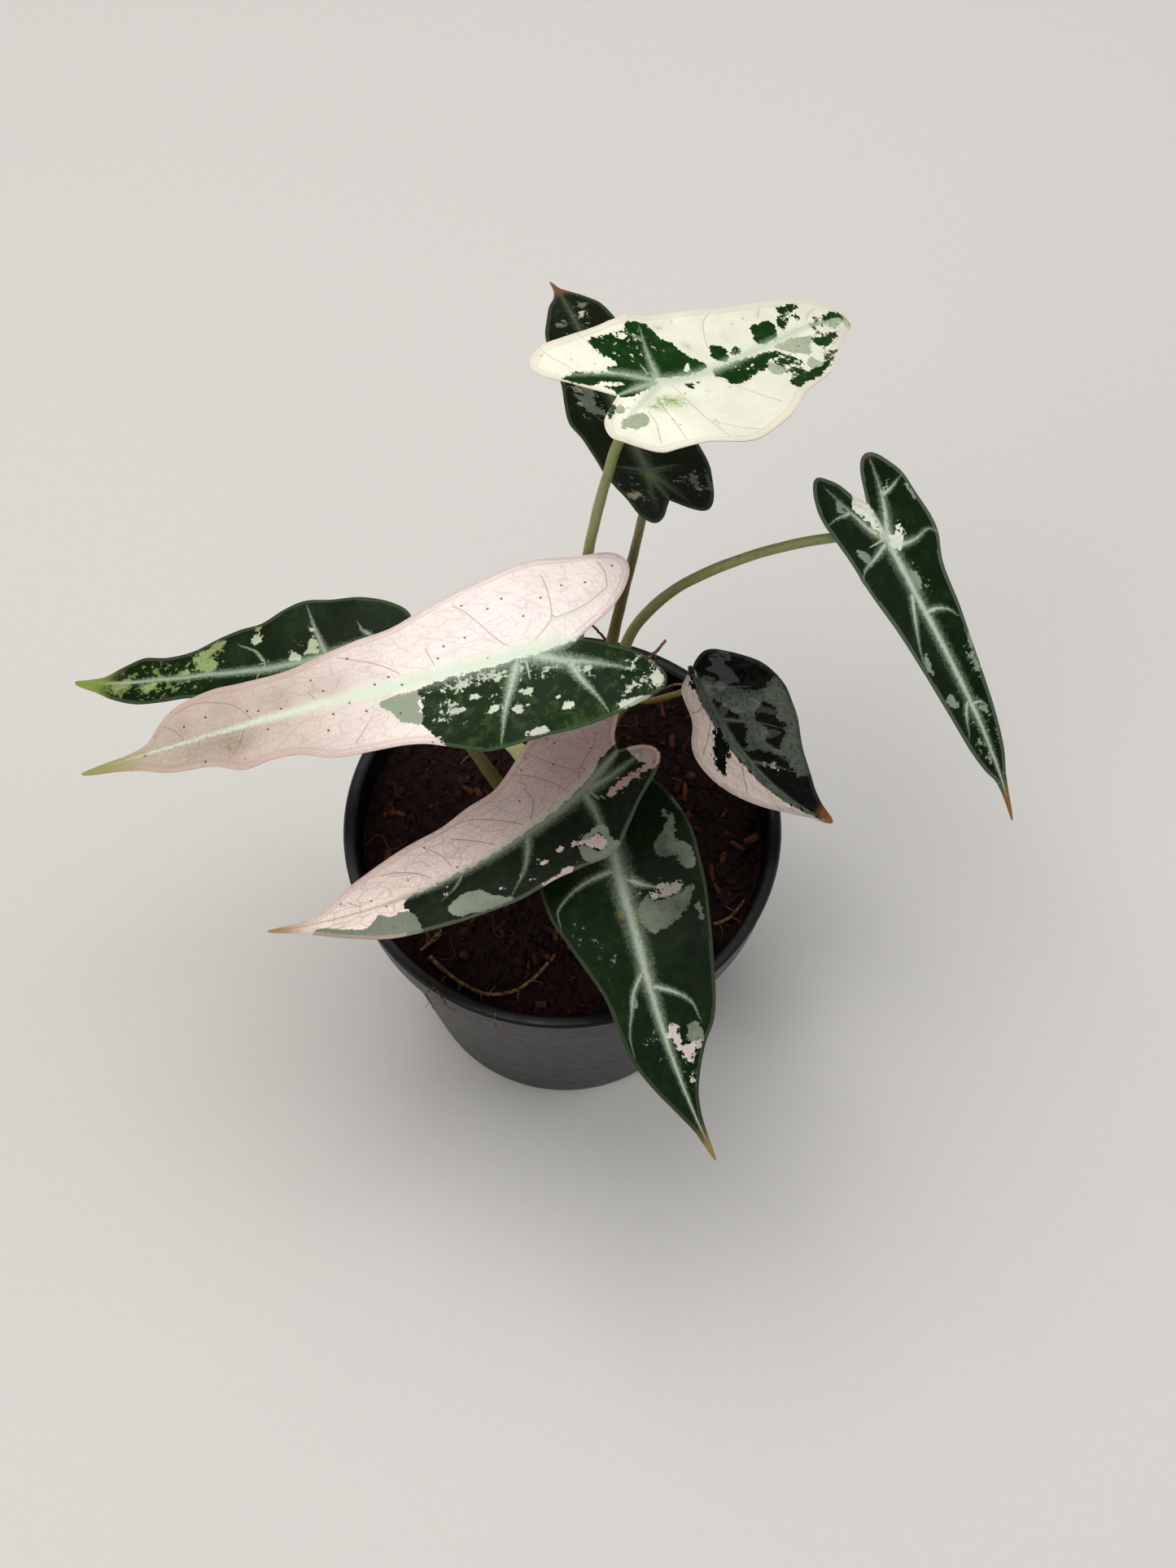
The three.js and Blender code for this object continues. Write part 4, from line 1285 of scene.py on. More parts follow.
@dataclass(frozen=True)
class Root:
    """A loose root, uneven in thickness, with finer side roots; the frame has the thicker ones."""

    name: str
    path: str
    radius: float
    seed: int
    side_roots: int = 4
    skin: RootSkin | StalkSkin = RootSkin()
    in_frame: bool = True
    rings: int = 60
    crooked: float = 0.06

    def build(self) -> Object:
        """Makes the root and joins its side roots to it.

        Returns:
            The root.
        """
        draw = np.random.default_rng(self.seed)
        line = centripetal(pts(self.path), self.rings)
        line[1:-1] += draw.normal(0, self.crooked, (self.rings - 2, 3))

        def knotty(t: np.ndarray, angle: np.ndarray) -> np.ndarray:
            """Radius of an old root, which thins towards its end."""
            knots = 0.16 * np.sin(t * 61 + self.seed) * np.sin(t * 23 + angle)
            return self.radius * (1 - 0.35 * t) * (1 + knots)

        def fine(t: np.ndarray, angle: np.ndarray) -> np.ndarray:
            """Radius of a side root."""
            return self.radius * (0.32 - 0.2 * t) + 0 * angle

        pieces = [tube(self.name, line, knotty, 9)]
        for i in range(self.side_roots):
            start = line[int(draw.integers(6, 50))]
            turn = draw.uniform(0, 2 * np.pi)
            step = np.array([math.cos(turn), math.sin(turn), -0.12])
            bend = np.array([-math.sin(turn), math.cos(turn), 0.05]) * draw.uniform(-2, 2)
            path = centripetal(start + np.array([0 * step, step * 1.6 + bend * 0.3, step * 3.4 + bend]), 12)
            pieces.append(tube(f"{self.name}_side_{i}", path, fine, 5))
        piece = joined(self.name, pieces)
        finish_piece(piece, [self.skin.material(f"dry corky root, {self.name}")], "root_fibre",
                     *[self.name.removeprefix("loose_")] * self.in_frame)
        return piece


# Turned pieces: pot and crown


def spun(name: str, profile: Sequence[Point], steps: int) -> Object:
    """Turns a profile about the upright axis into a closed solid.

    Args:
        name: The object's name.
        profile: Radius and height of its points, from the underside's middle round to the top's middle.
        steps: Faces round the solid.

    Returns:
        The solid, with its normals outwards.
    """
    deselect()
    bpy.ops.mesh.primitive_plane_add(size=MM)
    piece = named(name)
    pick(piece, np.ones(len(piece.data.vertices)))
    bpy.ops.mesh.merge(type="CENTER")
    radius, height = profile[0]
    bpy.ops.transform.translate(value=(radius * MM, 0, height * MM))
    for (r0, z0), (r1, z1) in zip(profile, profile[1:]):
        step = ((r1 - r0) * MM, 0, (z1 - z0) * MM)
        bpy.ops.mesh.extrude_vertices_move(TRANSFORM_OT_translate={"value": step})
    bpy.ops.mesh.select_all(action="SELECT")
    bpy.ops.mesh.spin(steps=steps, angle=2 * math.pi, center=(0, 0, 0), axis=(0, 0, 1))
    bpy.ops.mesh.select_all(action="SELECT")
    bpy.ops.mesh.remove_doubles(threshold=2e-6)
    close_outwards()
    return piece


@dataclass(frozen=True)
class PotPlastic:
    """Injection-moulded black polypropylene: satin, a touch blue where light grazes it, dusty and scuffed."""

    black: str = "#090a0b"
    dust: str = "#352d26"
    scuff: str = "#1d2024"

    def material(self) -> bpy.types.Material:
        """Makes the pot's material.

        Returns:
            The material.
        """
        material, node = new_material("moulded black polypropylene")
        place = node("TexCoord", out="Object")
        # Mould grain of 0.6 mm, scuffs of 4 mm drawn out round the pot, and dust of 2.4 mm near the rim.
        grain = node("TexNoise", Vector=place, Scale=1600.0, Detail=2.0)
        drawn = node("Mapping", place, Scale=(1.0, 1.0, 5.0))
        scuffs = node("TexNoise", Vector=drawn, Scale=240.0, Detail=4.0, Roughness=0.7)
        dust = node("TexNoise", Vector=place, Scale=420.0, Detail=5.0, Roughness=0.75)
        dusty = node(TIMES, node("MapRange", dust, 0.6, 0.68, 0.0, 0.7),
                     node("MapRange", node("SeparateXYZ", place, out="Z"), 0.078, 0.096))
        colour = painted(node, self.black, [(node("MapRange", scuffs, 0.58, 0.72, 0.0, 0.6), self.scuff),
                                            (dusty, self.dust)])
        rough = node("MapRange", scuffs, 0.35, 0.7, 0.3, 0.5)
        close_material(node, colour, grain, 0.03, Roughness=rough, IOR=1.49, Specular_IOR_Level=0.25)
        return material


@dataclass(frozen=True)
class Pot:
    """Round nursery pot: thin tapered wall, stepped rim band with a flat lip, ring of drain holes."""

    rim_radius: float = 60
    height: float = 96
    base_radius: float = 43
    wall: float = 1.6
    band: float = 14
    step: float = 1.6
    lip: float = 3.4
    floor_top: float = 4
    foot: float = 1.5
    drain_radius: float = 3.5
    drain_ring: float = 24
    drains: int = 8

    def inside(self, z: float) -> float:
        """Inner radius at a height."""
        t = (z - self.floor_top) / (self.height - self.floor_top)
        return self.base_radius - self.wall + (self.rim_radius - self.lip - self.base_radius + self.wall) * t

    def profile(self) -> list[Point]:
        """Radius and height of the section, from the underside's middle out and round to the inside.

        Returns:
            The section's corners.
        """
        band_bottom = self.height - self.band
        rim, base, top = self.rim_radius, self.base_radius, self.height

        def outside(z: float) -> float:
            """Outer radius at a height."""
            return self.inside(z) + self.wall

        return [
            (0, 0), (14, 0), (15, self.foot), (base - 10, self.foot), (base - 9, 0), (base - 2.4, 0),
            (base - 0.6, 0.8), (outside(4), 4), (outside(30), 30),
            (outside(band_bottom - 3), band_bottom - 3),
            (outside(band_bottom) + 0.2, band_bottom - 0.6), (rim - self.step - 0.6, band_bottom),
            (rim - self.step, band_bottom + 0.8), (rim - 0.9, top - 2.8), (rim - 0.2, top - 1.8),
            (rim, top - 0.9), (rim - 0.6, top), (rim - self.lip + 0.7, top),
            (self.inside(top) - 0.1, top - 0.8), (self.inside(60), 60),
            (self.inside(self.floor_top + 1.5), self.floor_top + 1.5),
            (self.inside(self.floor_top) - 1.5, self.floor_top), (0, self.floor_top),
        ]

    def build(self) -> Object:
        """Makes the pot with rounded edges and its drain holes.

        Returns:
            The pot.
        """
        piece = spun("nursery_pot", self.profile(), 144)
        cutters = []
        for i in range(self.drains):
            angle = 2 * math.pi * (i + 0.5) / self.drains
            deselect()
            reach = self.drain_ring * MM
            bpy.ops.mesh.primitive_cylinder_add(
                vertices=32, radius=self.drain_radius * MM, depth=12 * MM,
                location=(reach * math.cos(angle), reach * math.sin(angle), 2 * MM))
            cutters.append(named(f"drain_{i}"))
        holes = joined("drains", cutters[::-1])
        add_modifier(piece, "BOOLEAN", operation="DIFFERENCE", object=holes, solver="EXACT")
        bpy.data.objects.remove(holes)
        add_modifier(piece, "BEVEL", width=0.3 * MM, segments=2, limit_method="ANGLE",
                     angle_limit=math.radians(24), harden_normals=False)
        smooth_shade(piece, 30)
        finish_piece(piece, [PotPlastic().material()], "pot_plastic", "pot")
        return piece


@dataclass(frozen=True)
class Crown:
    """Short stem in the middle of the mix, ringed by the scars of old leaves."""

    radius: float = 13
    bottom: float = 66
    top: float = 92

    def build(self) -> Object:
        """Makes the crown with leaf scars as shallow steps and an uneven outline.

        Returns:
            The crown.
        """
        r, top = self.radius, self.top
        profile = [(0, self.bottom), (r - 5, self.bottom), (r, self.bottom + 8), (r, top - 5)]
        for i in range(5):
            profile += [(r - 0.5 - 1.4 * i, top - 3.6 + 0.8 * i), (r - 1.6 - 1.4 * i, top - 3.0 + 0.8 * i)]
        profile += [(3, top + 0.7), (0, top + 1)]
        piece = spun("stem_crown", profile, 96)
        points = coordinates(piece) / MM
        lumps = waviness(points, 3.5, 5.0)
        points[:, :2] *= (1 + 0.03 * lumps)[:, None]
        points[:, 2] += np.where(points[:, 2] > top - 6, 0.5 * lumps - 0.3, 0)
        move_to(piece, points * MM)
        smooth_shade(piece, 40)
        skin = StalkSkin(foot="#4a3a22", middle="#5b4a2a", top="#6b5f35", fleck="#2f2013", fleck_share=0.8)
        write_field(piece, "stalk_mm", points)
        write_field(piece, "along", np.clip((points[:, 2] - self.bottom) / (top - self.bottom), 0, 1))
        finish_piece(piece, [skin.material("scarred stem bark")], "stalk_tissue", "crown")
        return piece


# Potting mix


def soil_height(x: np.ndarray, y: np.ndarray) -> np.ndarray:
    """Height of the mix, heaped at the back and gently lumpy, as the frame has it.

    Args:
        x: Places to the right of the axis.
        y: Places behind the axis.

    Returns:
        The height at each place.
    """
    heap = 3.6 * np.exp(-((x - 10) / 34) ** 2 - ((y - 50) / 18) ** 2)
    crown_heap = 1.6 * np.exp(-((x * x + y * y) / 500))
    lumps = np.sin(x * 0.42 + 1.3 * np.sin(y * 0.23)) * np.cos(y * 0.38 + 0.9 * np.sin(x * 0.31))
    lumps = lumps + 0.6 * np.sin(x * 0.93 + 2) * np.sin(y * 0.87 + 1)
    return SOIL_LEVEL + heap + crown_heap + 1.1 * 0.6 * lumps


def lying(draw: np.random.Generator, lean: float, count: int) -> np.ndarray:
    """Turns of bits that lie nearly flat: about x and y by a random lean in radians, about z by any."""
    return np.column_stack([draw.normal(0, lean, (count, 2)), draw.uniform(0, FULL_TURN, count)])


def strewn(name: str, templates: Sequence[Object], places: np.ndarray, sizes: np.ndarray, angles: np.ndarray,
           shades: np.ndarray) -> Object:
    """Copies a few small shapes many times into one mesh and removes the shapes.

    Args:
        name: The object's name.
        templates: The shapes, about one unit across.
        places: Where each copy goes, in millimetres.
        sizes: Each copy's size along its three axes, in millimetres.
        angles: Each copy's turns about x, y and z, in radians.
        shades: A number from 0 to 1 a copy, kept as the field shade.

    Returns:
        The one object.
    """
    corners, faces, tones = [], [], []
    total = 0
    shapes = [(coordinates(shape), [list(face.vertices) for face in shape.data.polygons])
              for shape in templates]
    for i in range(len(places)):
        points, polygons = shapes[i % len(shapes)]
        turn = np.array(Euler(angles[i]).to_matrix())
        corners.append((points * sizes[i]) @ turn.T + places[i])
        faces.extend([[index + total for index in polygon] for polygon in polygons])
        tones.append(np.full(len(points), shades[i]))
        total += len(points)
    mesh = bpy.data.meshes.new(name)
    mesh.from_pydata((np.vstack(corners) * MM).tolist(), [], faces)
    piece = bpy.data.objects.new(name, mesh)
    bpy.context.collection.objects.link(piece)
    write_field(piece, "shade", np.concatenate(tones))
    for shape in templates:
        bpy.data.objects.remove(shape)
    smooth_shade(piece, 50)
    return piece


@dataclass(frozen=True)
class MixSkin:
    """Damp coir and bark potting mix: crumbly and matt, dark brown, with tan chips and fibres."""

    dark: str = "#120705"
    brown: str = "#220e09"
    tan: str = "#472416"
    tan_share: float = 0.12
    roughness: float = 0.92
    shaded: bool = False

    def material(self, name: str) -> bpy.types.Material:
        """Makes the mix's material; where shaded is set, each copy's own shade picks its brown.

        Args:
            name: The material's name.

        Returns:
            The material.
        """
        material, node = new_material(name)
        place = node("TexCoord", out="Object")
        # Crumbs of 2 mm and dust of 0.7 mm; a noise scale of 1000 is one lump a millimetre.
        crumbs = node("TexNoise", Vector=place, Scale=480.0, Detail=6.0, Roughness=0.7)
        dust = node("TexVoronoi", Vector=place, Scale=1500.0)
        tone = node("MapRange", crumbs, 0.3, 0.72)
        if self.shaded:
            shade = node("Attribute", out="Fac", attribute_name="shade")
            tone = node(TIMES_PLUS, tone, 0.35, shade)
        browns = node("ValToRGB", tone, stops={0.0: self.dark, 1 - self.tan_share: self.brown, 1.0: self.tan})
        colour = node("HueSaturation", Color=browns, Value=node("MapRange", dust, 0.0, 0.8, 0.75, 1.25))
        close_material(node, colour, crumbs, 0.5, Roughness=self.roughness, IOR=1.4, Specular_IOR_Level=0.3)
        return material


class Bit(Enum):
    """Kinds of small shape that lie on the mix."""

    CRUMB = "crumb"
    FLAKE = "flake"


@dataclass(frozen=True)
class PottingMix:
    """The whole filling: a lumpy body, with crumbs, chips and fibres strewn over it."""

    pot: Pot
    crumbs: int = 3200
    flakes: int = 80
    fibres: int = 70
    big_chips: int = 64
    cells: int = 170
    highest: float = 92.6
    seed: int = 31
    chip_seed: int = 20

    def edge_radius(self) -> float:
        """Radius of the mix at its surface."""
        return self.pot.inside(SOIL_LEVEL) - 0.3

    def body(self) -> Object:
        """The filling: a grid rounded to a disc and raised to the mix's surface, with its side and foot.

        Returns:
            The filling.
        """
        deselect()
        bpy.ops.mesh.primitive_grid_add(x_subdivisions=self.cells, y_subdivisions=self.cells, size=2)
        piece = named("potting_mix")
        x, y, _ = coordinates(piece).T
        flat = np.stack([x * np.sqrt(1 - y * y / 2), y * np.sqrt(1 - x * x / 2)], 1) * self.edge_radius()
        crumbly = 0.75 * waviness(flat, 2.2, 3.0) + 0.45 * waviness(flat, 1.0, 8.0)
        pits = -1.2 * np.clip(np.abs(waviness(flat, 5.0, 21.0)) * 3 - 0.8, 0, 1)
        height = np.minimum(soil_height(*flat.T), self.highest) + crumbly + 0.5 * pits - 0.5
        move_to(piece, np.column_stack([flat, height]) * MM)
        bpy.context.tool_settings.mesh_select_mode = (False, True, False)
        bpy.ops.object.mode_set(mode="EDIT")
        bpy.ops.mesh.select_all(action="SELECT")
        bpy.ops.mesh.region_to_loop()
        bottom = self.pot.floor_top + 0.3
        bpy.ops.mesh.extrude_edges_move(TRANSFORM_OT_translate={"value": (0, 0, -70 * MM)})
        bpy.ops.object.mode_set(mode="OBJECT")
        points = coordinates(piece) / MM
        low = points[:, 2] < 50
        foot = self.pot.inside(bottom + 1.5) - 1.6
        points[low, :2] *= foot / np.linalg.norm(points[low, :2], axis=1, keepdims=True)
        points[low, 2] = bottom
        move_to(piece, points * MM)
        pick(piece, low)
        bpy.ops.mesh.edge_face_add()
        close_outwards()
        smooth_shade(piece, 70)
        finish_piece(piece, [MixSkin().material("damp coir potting mix")], "potting_mix", "soil")
        return piece

    def on_surface(self, count: int, draw: np.random.Generator, nearest: float = 12.5) -> np.ndarray:
        """Random places on the mix, clear of the crown.

        Args:
            count: How many places.
            draw: The seeded draws.
            nearest: Least distance from the pot's axis.

        Returns:
            The places, one a row.
        """
        angle = draw.uniform(0, 2 * np.pi, count)
        reach = np.sqrt(draw.uniform(nearest ** 2, (self.edge_radius() - 1.2) ** 2, count))
        x, y = reach * np.cos(angle), reach * np.sin(angle)
        return np.column_stack([x, y, soil_height(x, y) - 0.3])

    def template(self, kind: Bit, seed: int) -> Object:
        """One small shape, about a unit across: a crumb from a ball, or a flake from a block.

        Args:
            kind: Whether it is a crumb or a flake.
            seed: Picks its own unevenness.

        Returns:
            The shape.
        """
        deselect()
        if kind is Bit.CRUMB:
            bpy.ops.mesh.primitive_uv_sphere_add(segments=7, ring_count=5, radius=0.5)
        else:
            bpy.ops.mesh.primitive_cube_add(size=1)
            bpy.ops.object.mode_set(mode="EDIT")
            bpy.ops.mesh.bevel(offset=0.12, segments=1, affect="EDGES")
            bpy.ops.object.mode_set(mode="OBJECT")
        shape = named(f"{kind.value}_{seed}")
        points = coordinates(shape)
        push = np.stack([waviness(points, 0.45, seed + k * 7.0) for k in range(3)], 1)
        move_to(shape, points * (1 + 0.35 * push) + 0.1 * push)
        return shape

    def strew(self) -> list[Object]:
        """Strews crumbs, flakes and fibres over the mix.

        Returns:
            The crumbs, the flakes and the fibres.
        """
        draw = np.random.default_rng(self.seed)
        crumbs = draw.gamma(3.2, 0.34, self.crumbs).clip(0.5, 3.0)
        stretch = draw.uniform(0.6, 1.25, (self.crumbs, 3))
        pieces = [strewn("mix_crumbs", [self.template(Bit.CRUMB, k) for k in range(6)],
                         self.on_surface(self.crumbs, draw), crumbs[:, None] * stretch,
                         draw.uniform(0, FULL_TURN, (self.crumbs, 3)), draw.beta(1.6, 4, self.crumbs))]
        lengths = draw.uniform(1.4, 4.4, self.flakes)
        flakes = np.column_stack([lengths, draw.uniform(0.6, 1.6, self.flakes),
                                  draw.uniform(0.3, 0.9, self.flakes)])
        tilts = lying(draw, 0.35, self.flakes)
        pieces.append(strewn("mix_flakes", [self.template(Bit.FLAKE, k) for k in range(5)],
                             self.on_surface(self.flakes, draw) + [0, 0, 0.35], flakes, tilts,
                             draw.uniform(0.25, 1, self.flakes)))
        pieces.append(self.bark())
        pieces.append(self.strands(draw))
        for piece in pieces:
            tan = "#3d1d13" if piece.name == "mix_crumbs" else "#502c1b"
            skin = MixSkin(shaded=True, tan=tan, tan_share=0.4)
            finish_piece(piece, [skin.material(f"broken coir and bark, {piece.name}")], "potting_mix")
        return pieces

    def bark(self) -> Object:
        """The bigger bark chips, where the frame has them, by the same seeded draws.

        Returns:
            The chips as one piece.
        """
        state, factor, cycle = self.chip_seed, 16807, 2 ** 31 - 1

        def draw() -> float:
            """The next number from 0 to 1 of the frame's own draws.

            Returns:
                The number.
            """
            nonlocal state
            state = state * factor % cycle
            return state / cycle

        rows = []
        for _ in range(self.big_chips):
            angle, reach = 2 * math.pi * draw(), 15 + 38 * math.sqrt(draw())
            x, y = reach * math.cos(angle), reach * math.sin(angle)
            size = (2 + 3.4 * draw(), 1 + 1.2 * draw(), 2.4)
            tilt = (0.5 * (draw() - 0.5), 0.9 * (draw() - 0.5), math.pi * draw())
            height = float(soil_height(np.array(x), np.array(y))) - 0.4
            rows.append([x, y, height, *size, *tilt, 0.3 + 0.6 * draw()])
        table = np.array(rows)
        return strewn("mix_bark", [self.template(Bit.FLAKE, k) for k in range(11, 15)], table[:, :3],
                      table[:, 3:6], table[:, 6:9], table[:, 9])

    def strands(self, draw: np.random.Generator) -> Object:
        """Short coir fibres: a few bent hairs, copied over the surface.

        Args:
            draw: The seeded draws.

        Returns:
            The fibres as one piece.
        """
        shapes = []
        for k in range(5):
            bend, lift = draw.uniform(0.1, 0.45, 2)
            path = centripetal(np.array([(-0.5, 0, -0.04), (-0.15, bend, 0.12 * lift),
                                         (0.2, -bend * 0.4, 0.3 * lift), (0.5, bend * 0.5, -0.02)]), 9)

            def hair(t: np.ndarray, angle: np.ndarray) -> np.ndarray:
                """Radius of a fibre, relative to its length of one."""
                return 0.014 + 0 * t

            shape = tube(f"fibre_{k}", path, hair, 4)
            move_to(shape, coordinates(shape) / MM)
            shapes.append(shape)
        length = draw.uniform(4, 13, self.fibres)
        sizes = np.column_stack([length, length, np.full(self.fibres, 8.0)])
        tilts = lying(draw, 0.12, self.fibres)
        places = self.on_surface(self.fibres, draw, 14.0) * [0.93, 0.93, 1] + [0, 0, 1.1]
        return strewn("mix_fibres", shapes, places, sizes, tilts, draw.uniform(0.3, 1, self.fibres))

    def build(self) -> list[Object]:
        """Makes the filling and what lies on it."""
        return [self.body(), *self.strew()]


# The plant: shapes and markings


def cream_leaf() -> Blade:
    """The cream blade at the top, with torn dark sectors along its midrib.

    Returns:
        The blade.
    """
    shape = LeafShape(
        umbo=(21.9, 27.8, 257), length=69, heading=(27, 46, 27), pitch=(-26, -22, -40), roll=(-8, 6),
        sinus=13, skew=0.27,
        left=Half("-29 15.5, -26 19.1, -22 20.6, -16 20.7, -7 21.2, 1 21.3, 10 22.8, 18 21.1, 27 17.6, "
                  "35 14.3, 44 11.5, 52 9, 60 7.5, 65 4.8, 69 0",
                  "-29 15.5, -27 11.8, -24 9.4, -21 7, -17 3.6, -13 0", 0, 2, (0.5, 24, 0)),
        right=Half("-24 11, -22 13.5, -19 15.9, -13 19.3, -9 20.1, -2 22.2, 6 24.5, 15 22.7, 21 21.4, "
                   "28 18.3, 36 16.4, 44 14.8, 50 11.2, 59 7.3, 65 3.3, 69 0",
                   "-24 11, -23 7.5, -21 5, -17 2.4, -13 0", 0, 2, (0.7, 26, 90)))
    marks = Markings(
        base=Tissue.PALE,
        midrib="-13 0.2, -6 1.2, 0 2, 8 1.8, 20 1.4, 40 1.3, 60 0.5, 68 0.2",
        midrib_shift="0 0, 10 -0.3, 20 -0.7, 40 -1, 60 0",
        patches="""dark: -9.8 15.3, -6 16.2, -1.8 17.2, 2.3 17.6, 4.4 18.8, 6.1 20.1, 8.6 20.3, 10.7 19.7,
        12.8 18.4, 13.6 16.3, 13 13, 14.4 10.5, 14.7 6.3, 15.7 3.8, 16.5 1.2, 10 0, 5.7 0.5, 0 1, -6 3,
        -10.4 5, -10 6, -6.8 7, -6.6 8.2, -8.5 10.5, -9.2 13; dark: -23.5 3.4, -19 5, -14 4.8, -9 4, -3 2,
        1 0.5, -3 -2, -7 -3.4, -12 -4.4, -13 -2.5, -15 0.5, -17 0.4, -21 1.8; pale: -15 1.2, -12 1.2,
        -9 0.2, -11 -0.6, -14.5 -0.2; dark: 6.4 -2.4, 8 -2.4, 10.4 -2.3, 9.6 -3.5, 8.4 -3.3, 7.4 -4.3,
        6.4 -4; dark: 16 -1, 16.5 -4, 17.2 -6.6, 18.4 -7.8, 22.3 -7.2, 27.3 -7, 30.3 -6.3, 32.2 -9,
        30.6 -12.4, 28.8 -13.6, 29.2 -15.8, 34 -15.3, 41 -14.4, 47 -12.6, 54 -9.4, 48 -9.6, 44 -12.2,
        38.8 -12.4, 36.4 -10.6, 38.4 -9.4, 38.8 -7.4, 36.8 -5.6, 35 -3.4, 28 -2, 22 -1; sage: 28.2 -7.2,
        30 -6.2, 32 -7.2, 32.2 -9.6, 30.6 -10.8, 28.4 -9.8; sage: 36.4 -2.4, 42 -2, 48 -3, 51 -3.2, 48.4 -5,
        45.4 -6.4, 43.8 -8.4, 41 -7.2, 38.6 -5.4; sage: 38.8 -11.6, 41.4 -12.8, 44 -12.4, 43 -10, 40 -9.8;
        dark: 49 -4.6, 53 -4, 58 -3.4, 62 -2.6, 60 -4.6, 55 -6.4, 51.5 -8, 49 -7.4; dark: 54.4 0.4, 60 2,
        64.8 3.4, 66.8 3, 67.6 1, 64 -0.4, 60 -1, 55 -1.4, 52.4 -3.4, 55 -3.8, 53.4 -1; sage: 60 -0.4,
        64.4 1.4, 66.4 1, 65 -0.6, 60.6 -2; dark: 20 1.2, 20.6 4.2, 22.6 5.8, 24.8 4.8, 25.2 2.8, 23.6 1,
        21.8 0; dark: 25 0.8, 25.4 2, 28.4 2.4, 28 1, 26.2 0.2; dark: 34 -0.3, 35.7 3.8, 37.8 5.8, 40.6 5.4,
        43.4 5.4, 43.4 2.6, 40.7 0; dark: 43.6 1.4, 45 3.8, 48 4.8, 48.6 3, 46.2 2.2, 45 0.8;
        dark: 48.4 6.2, 50 7.2, 53.6 7, 54.6 5.6, 52 5, 52.6 3.4, 50.8 1.4, 49.6 0.2, 50.2 3, 49.4 4.8;
        dark: -20.4 -11.6, -19.4 -9.4, -16 -6.2, -16 -7.8, -18 -9.6; sage: -14.6 -6.4, -16.8 -8.6,
        -16.4 -9.6, -14.4 -9, -13.6 -7.4; sage: -19 -14.4, -16.4 -11.4, -12.4 -9.8, -9.6 -10.6, -10.6 -13,
        -13 -14.6, -16.6 -14.6; pale: -1.2 16.2, 1.6 16.8, 2.4 16, -0.2 14.8; pale: 3.6 14.8, 4.8 15.4,
        5 14, 4 13.4; pale: 9.8 1.4, 11.4 3.2, 12.4 3.6, 11.4 1.6""",
        ribs="""1.8 0.8: 0 0.5, -6 3.2, -12 4.4, -22 4.4; 1.5 0.8: 0 -0.8, -4 -3.8, -9 -7, -14 -10.4;
        1.4 0.4: 1.3 1.5, 3 6, 5.4 11.5, 9.8 18; 0.35 0.1: 6 14, 4.6 15.4, 3.8 17""",
        veins="""3.2 -2, 3.4 -8, 3.4 -15, 3.8 -22; 15.4 -3, 17.6 -8, 20 -13.6, 21.4 -17; -8.6 -10, -8.8 -13,
        -10.4 -17, -11.6 -19.6; 22 6, 25.4 10, 28.6 12.8, 32.4 14; -23.4 14.4, -22.6 11.6, -19.6 7.4;
        -10.2 19, -10.4 17, -9.6 15; 42 7, 44.6 9; 54 1.6, 57 3.6, 60 4.4; 37 -12.4, 40 -14.8, 43 -15.4;
        3.4 -15, 8 -19.4, 12 -21.6; -3.4 -5.4, -4 -11, -5 -17, -5.6 -20.4""",
        stains="""-1.2 -7.2 4 2 1.5, -5 -8.4 3 1.6 1.1, 15.7 16.7 1.4 0.9 0.9, 17.5 8.8 0.9 1.5 0.9,
        43 8.6 6 1.6 0.15, 28.6 6 0.7 1.6 0.35, 10 -6.2 0.5 0.4 1""",
        speckles="""27 1.6 2.4 1.6 0.4, 34 -9 5 5 0.9, 46 3 3 2.4 0.7, 46 -9.6 5 3 0.8, 52 4 3 3.4 0.7,
        58 -1 9 4 0.75, 2 13 12 7 0.42, 24 -5 6 3 0.5""")
    skin = LeafSkin(
        pale="#f9f9e6", pale_far="#e9e9d8", far_from=-12, far_to=18, dark="#10330a", light="#27500f",
        sage="#a9b69c", sage_dark="#8d9c80", silver="#8fa285", core="#c3d0b9", rib_on_pale="#ccd6bd",
        fleck="#f0f0da", vein="#c3b9a2", net=0.16, vein_strength=0.65, stain="#8aa857", margin="#dcc5b4",
        margin_strength=0.45, tail="#98a06a", tail_from=66, tail_to=69, ragged=0.7)
    return Blade("leaf_cream", "cream_blade", shape, marks, skin)


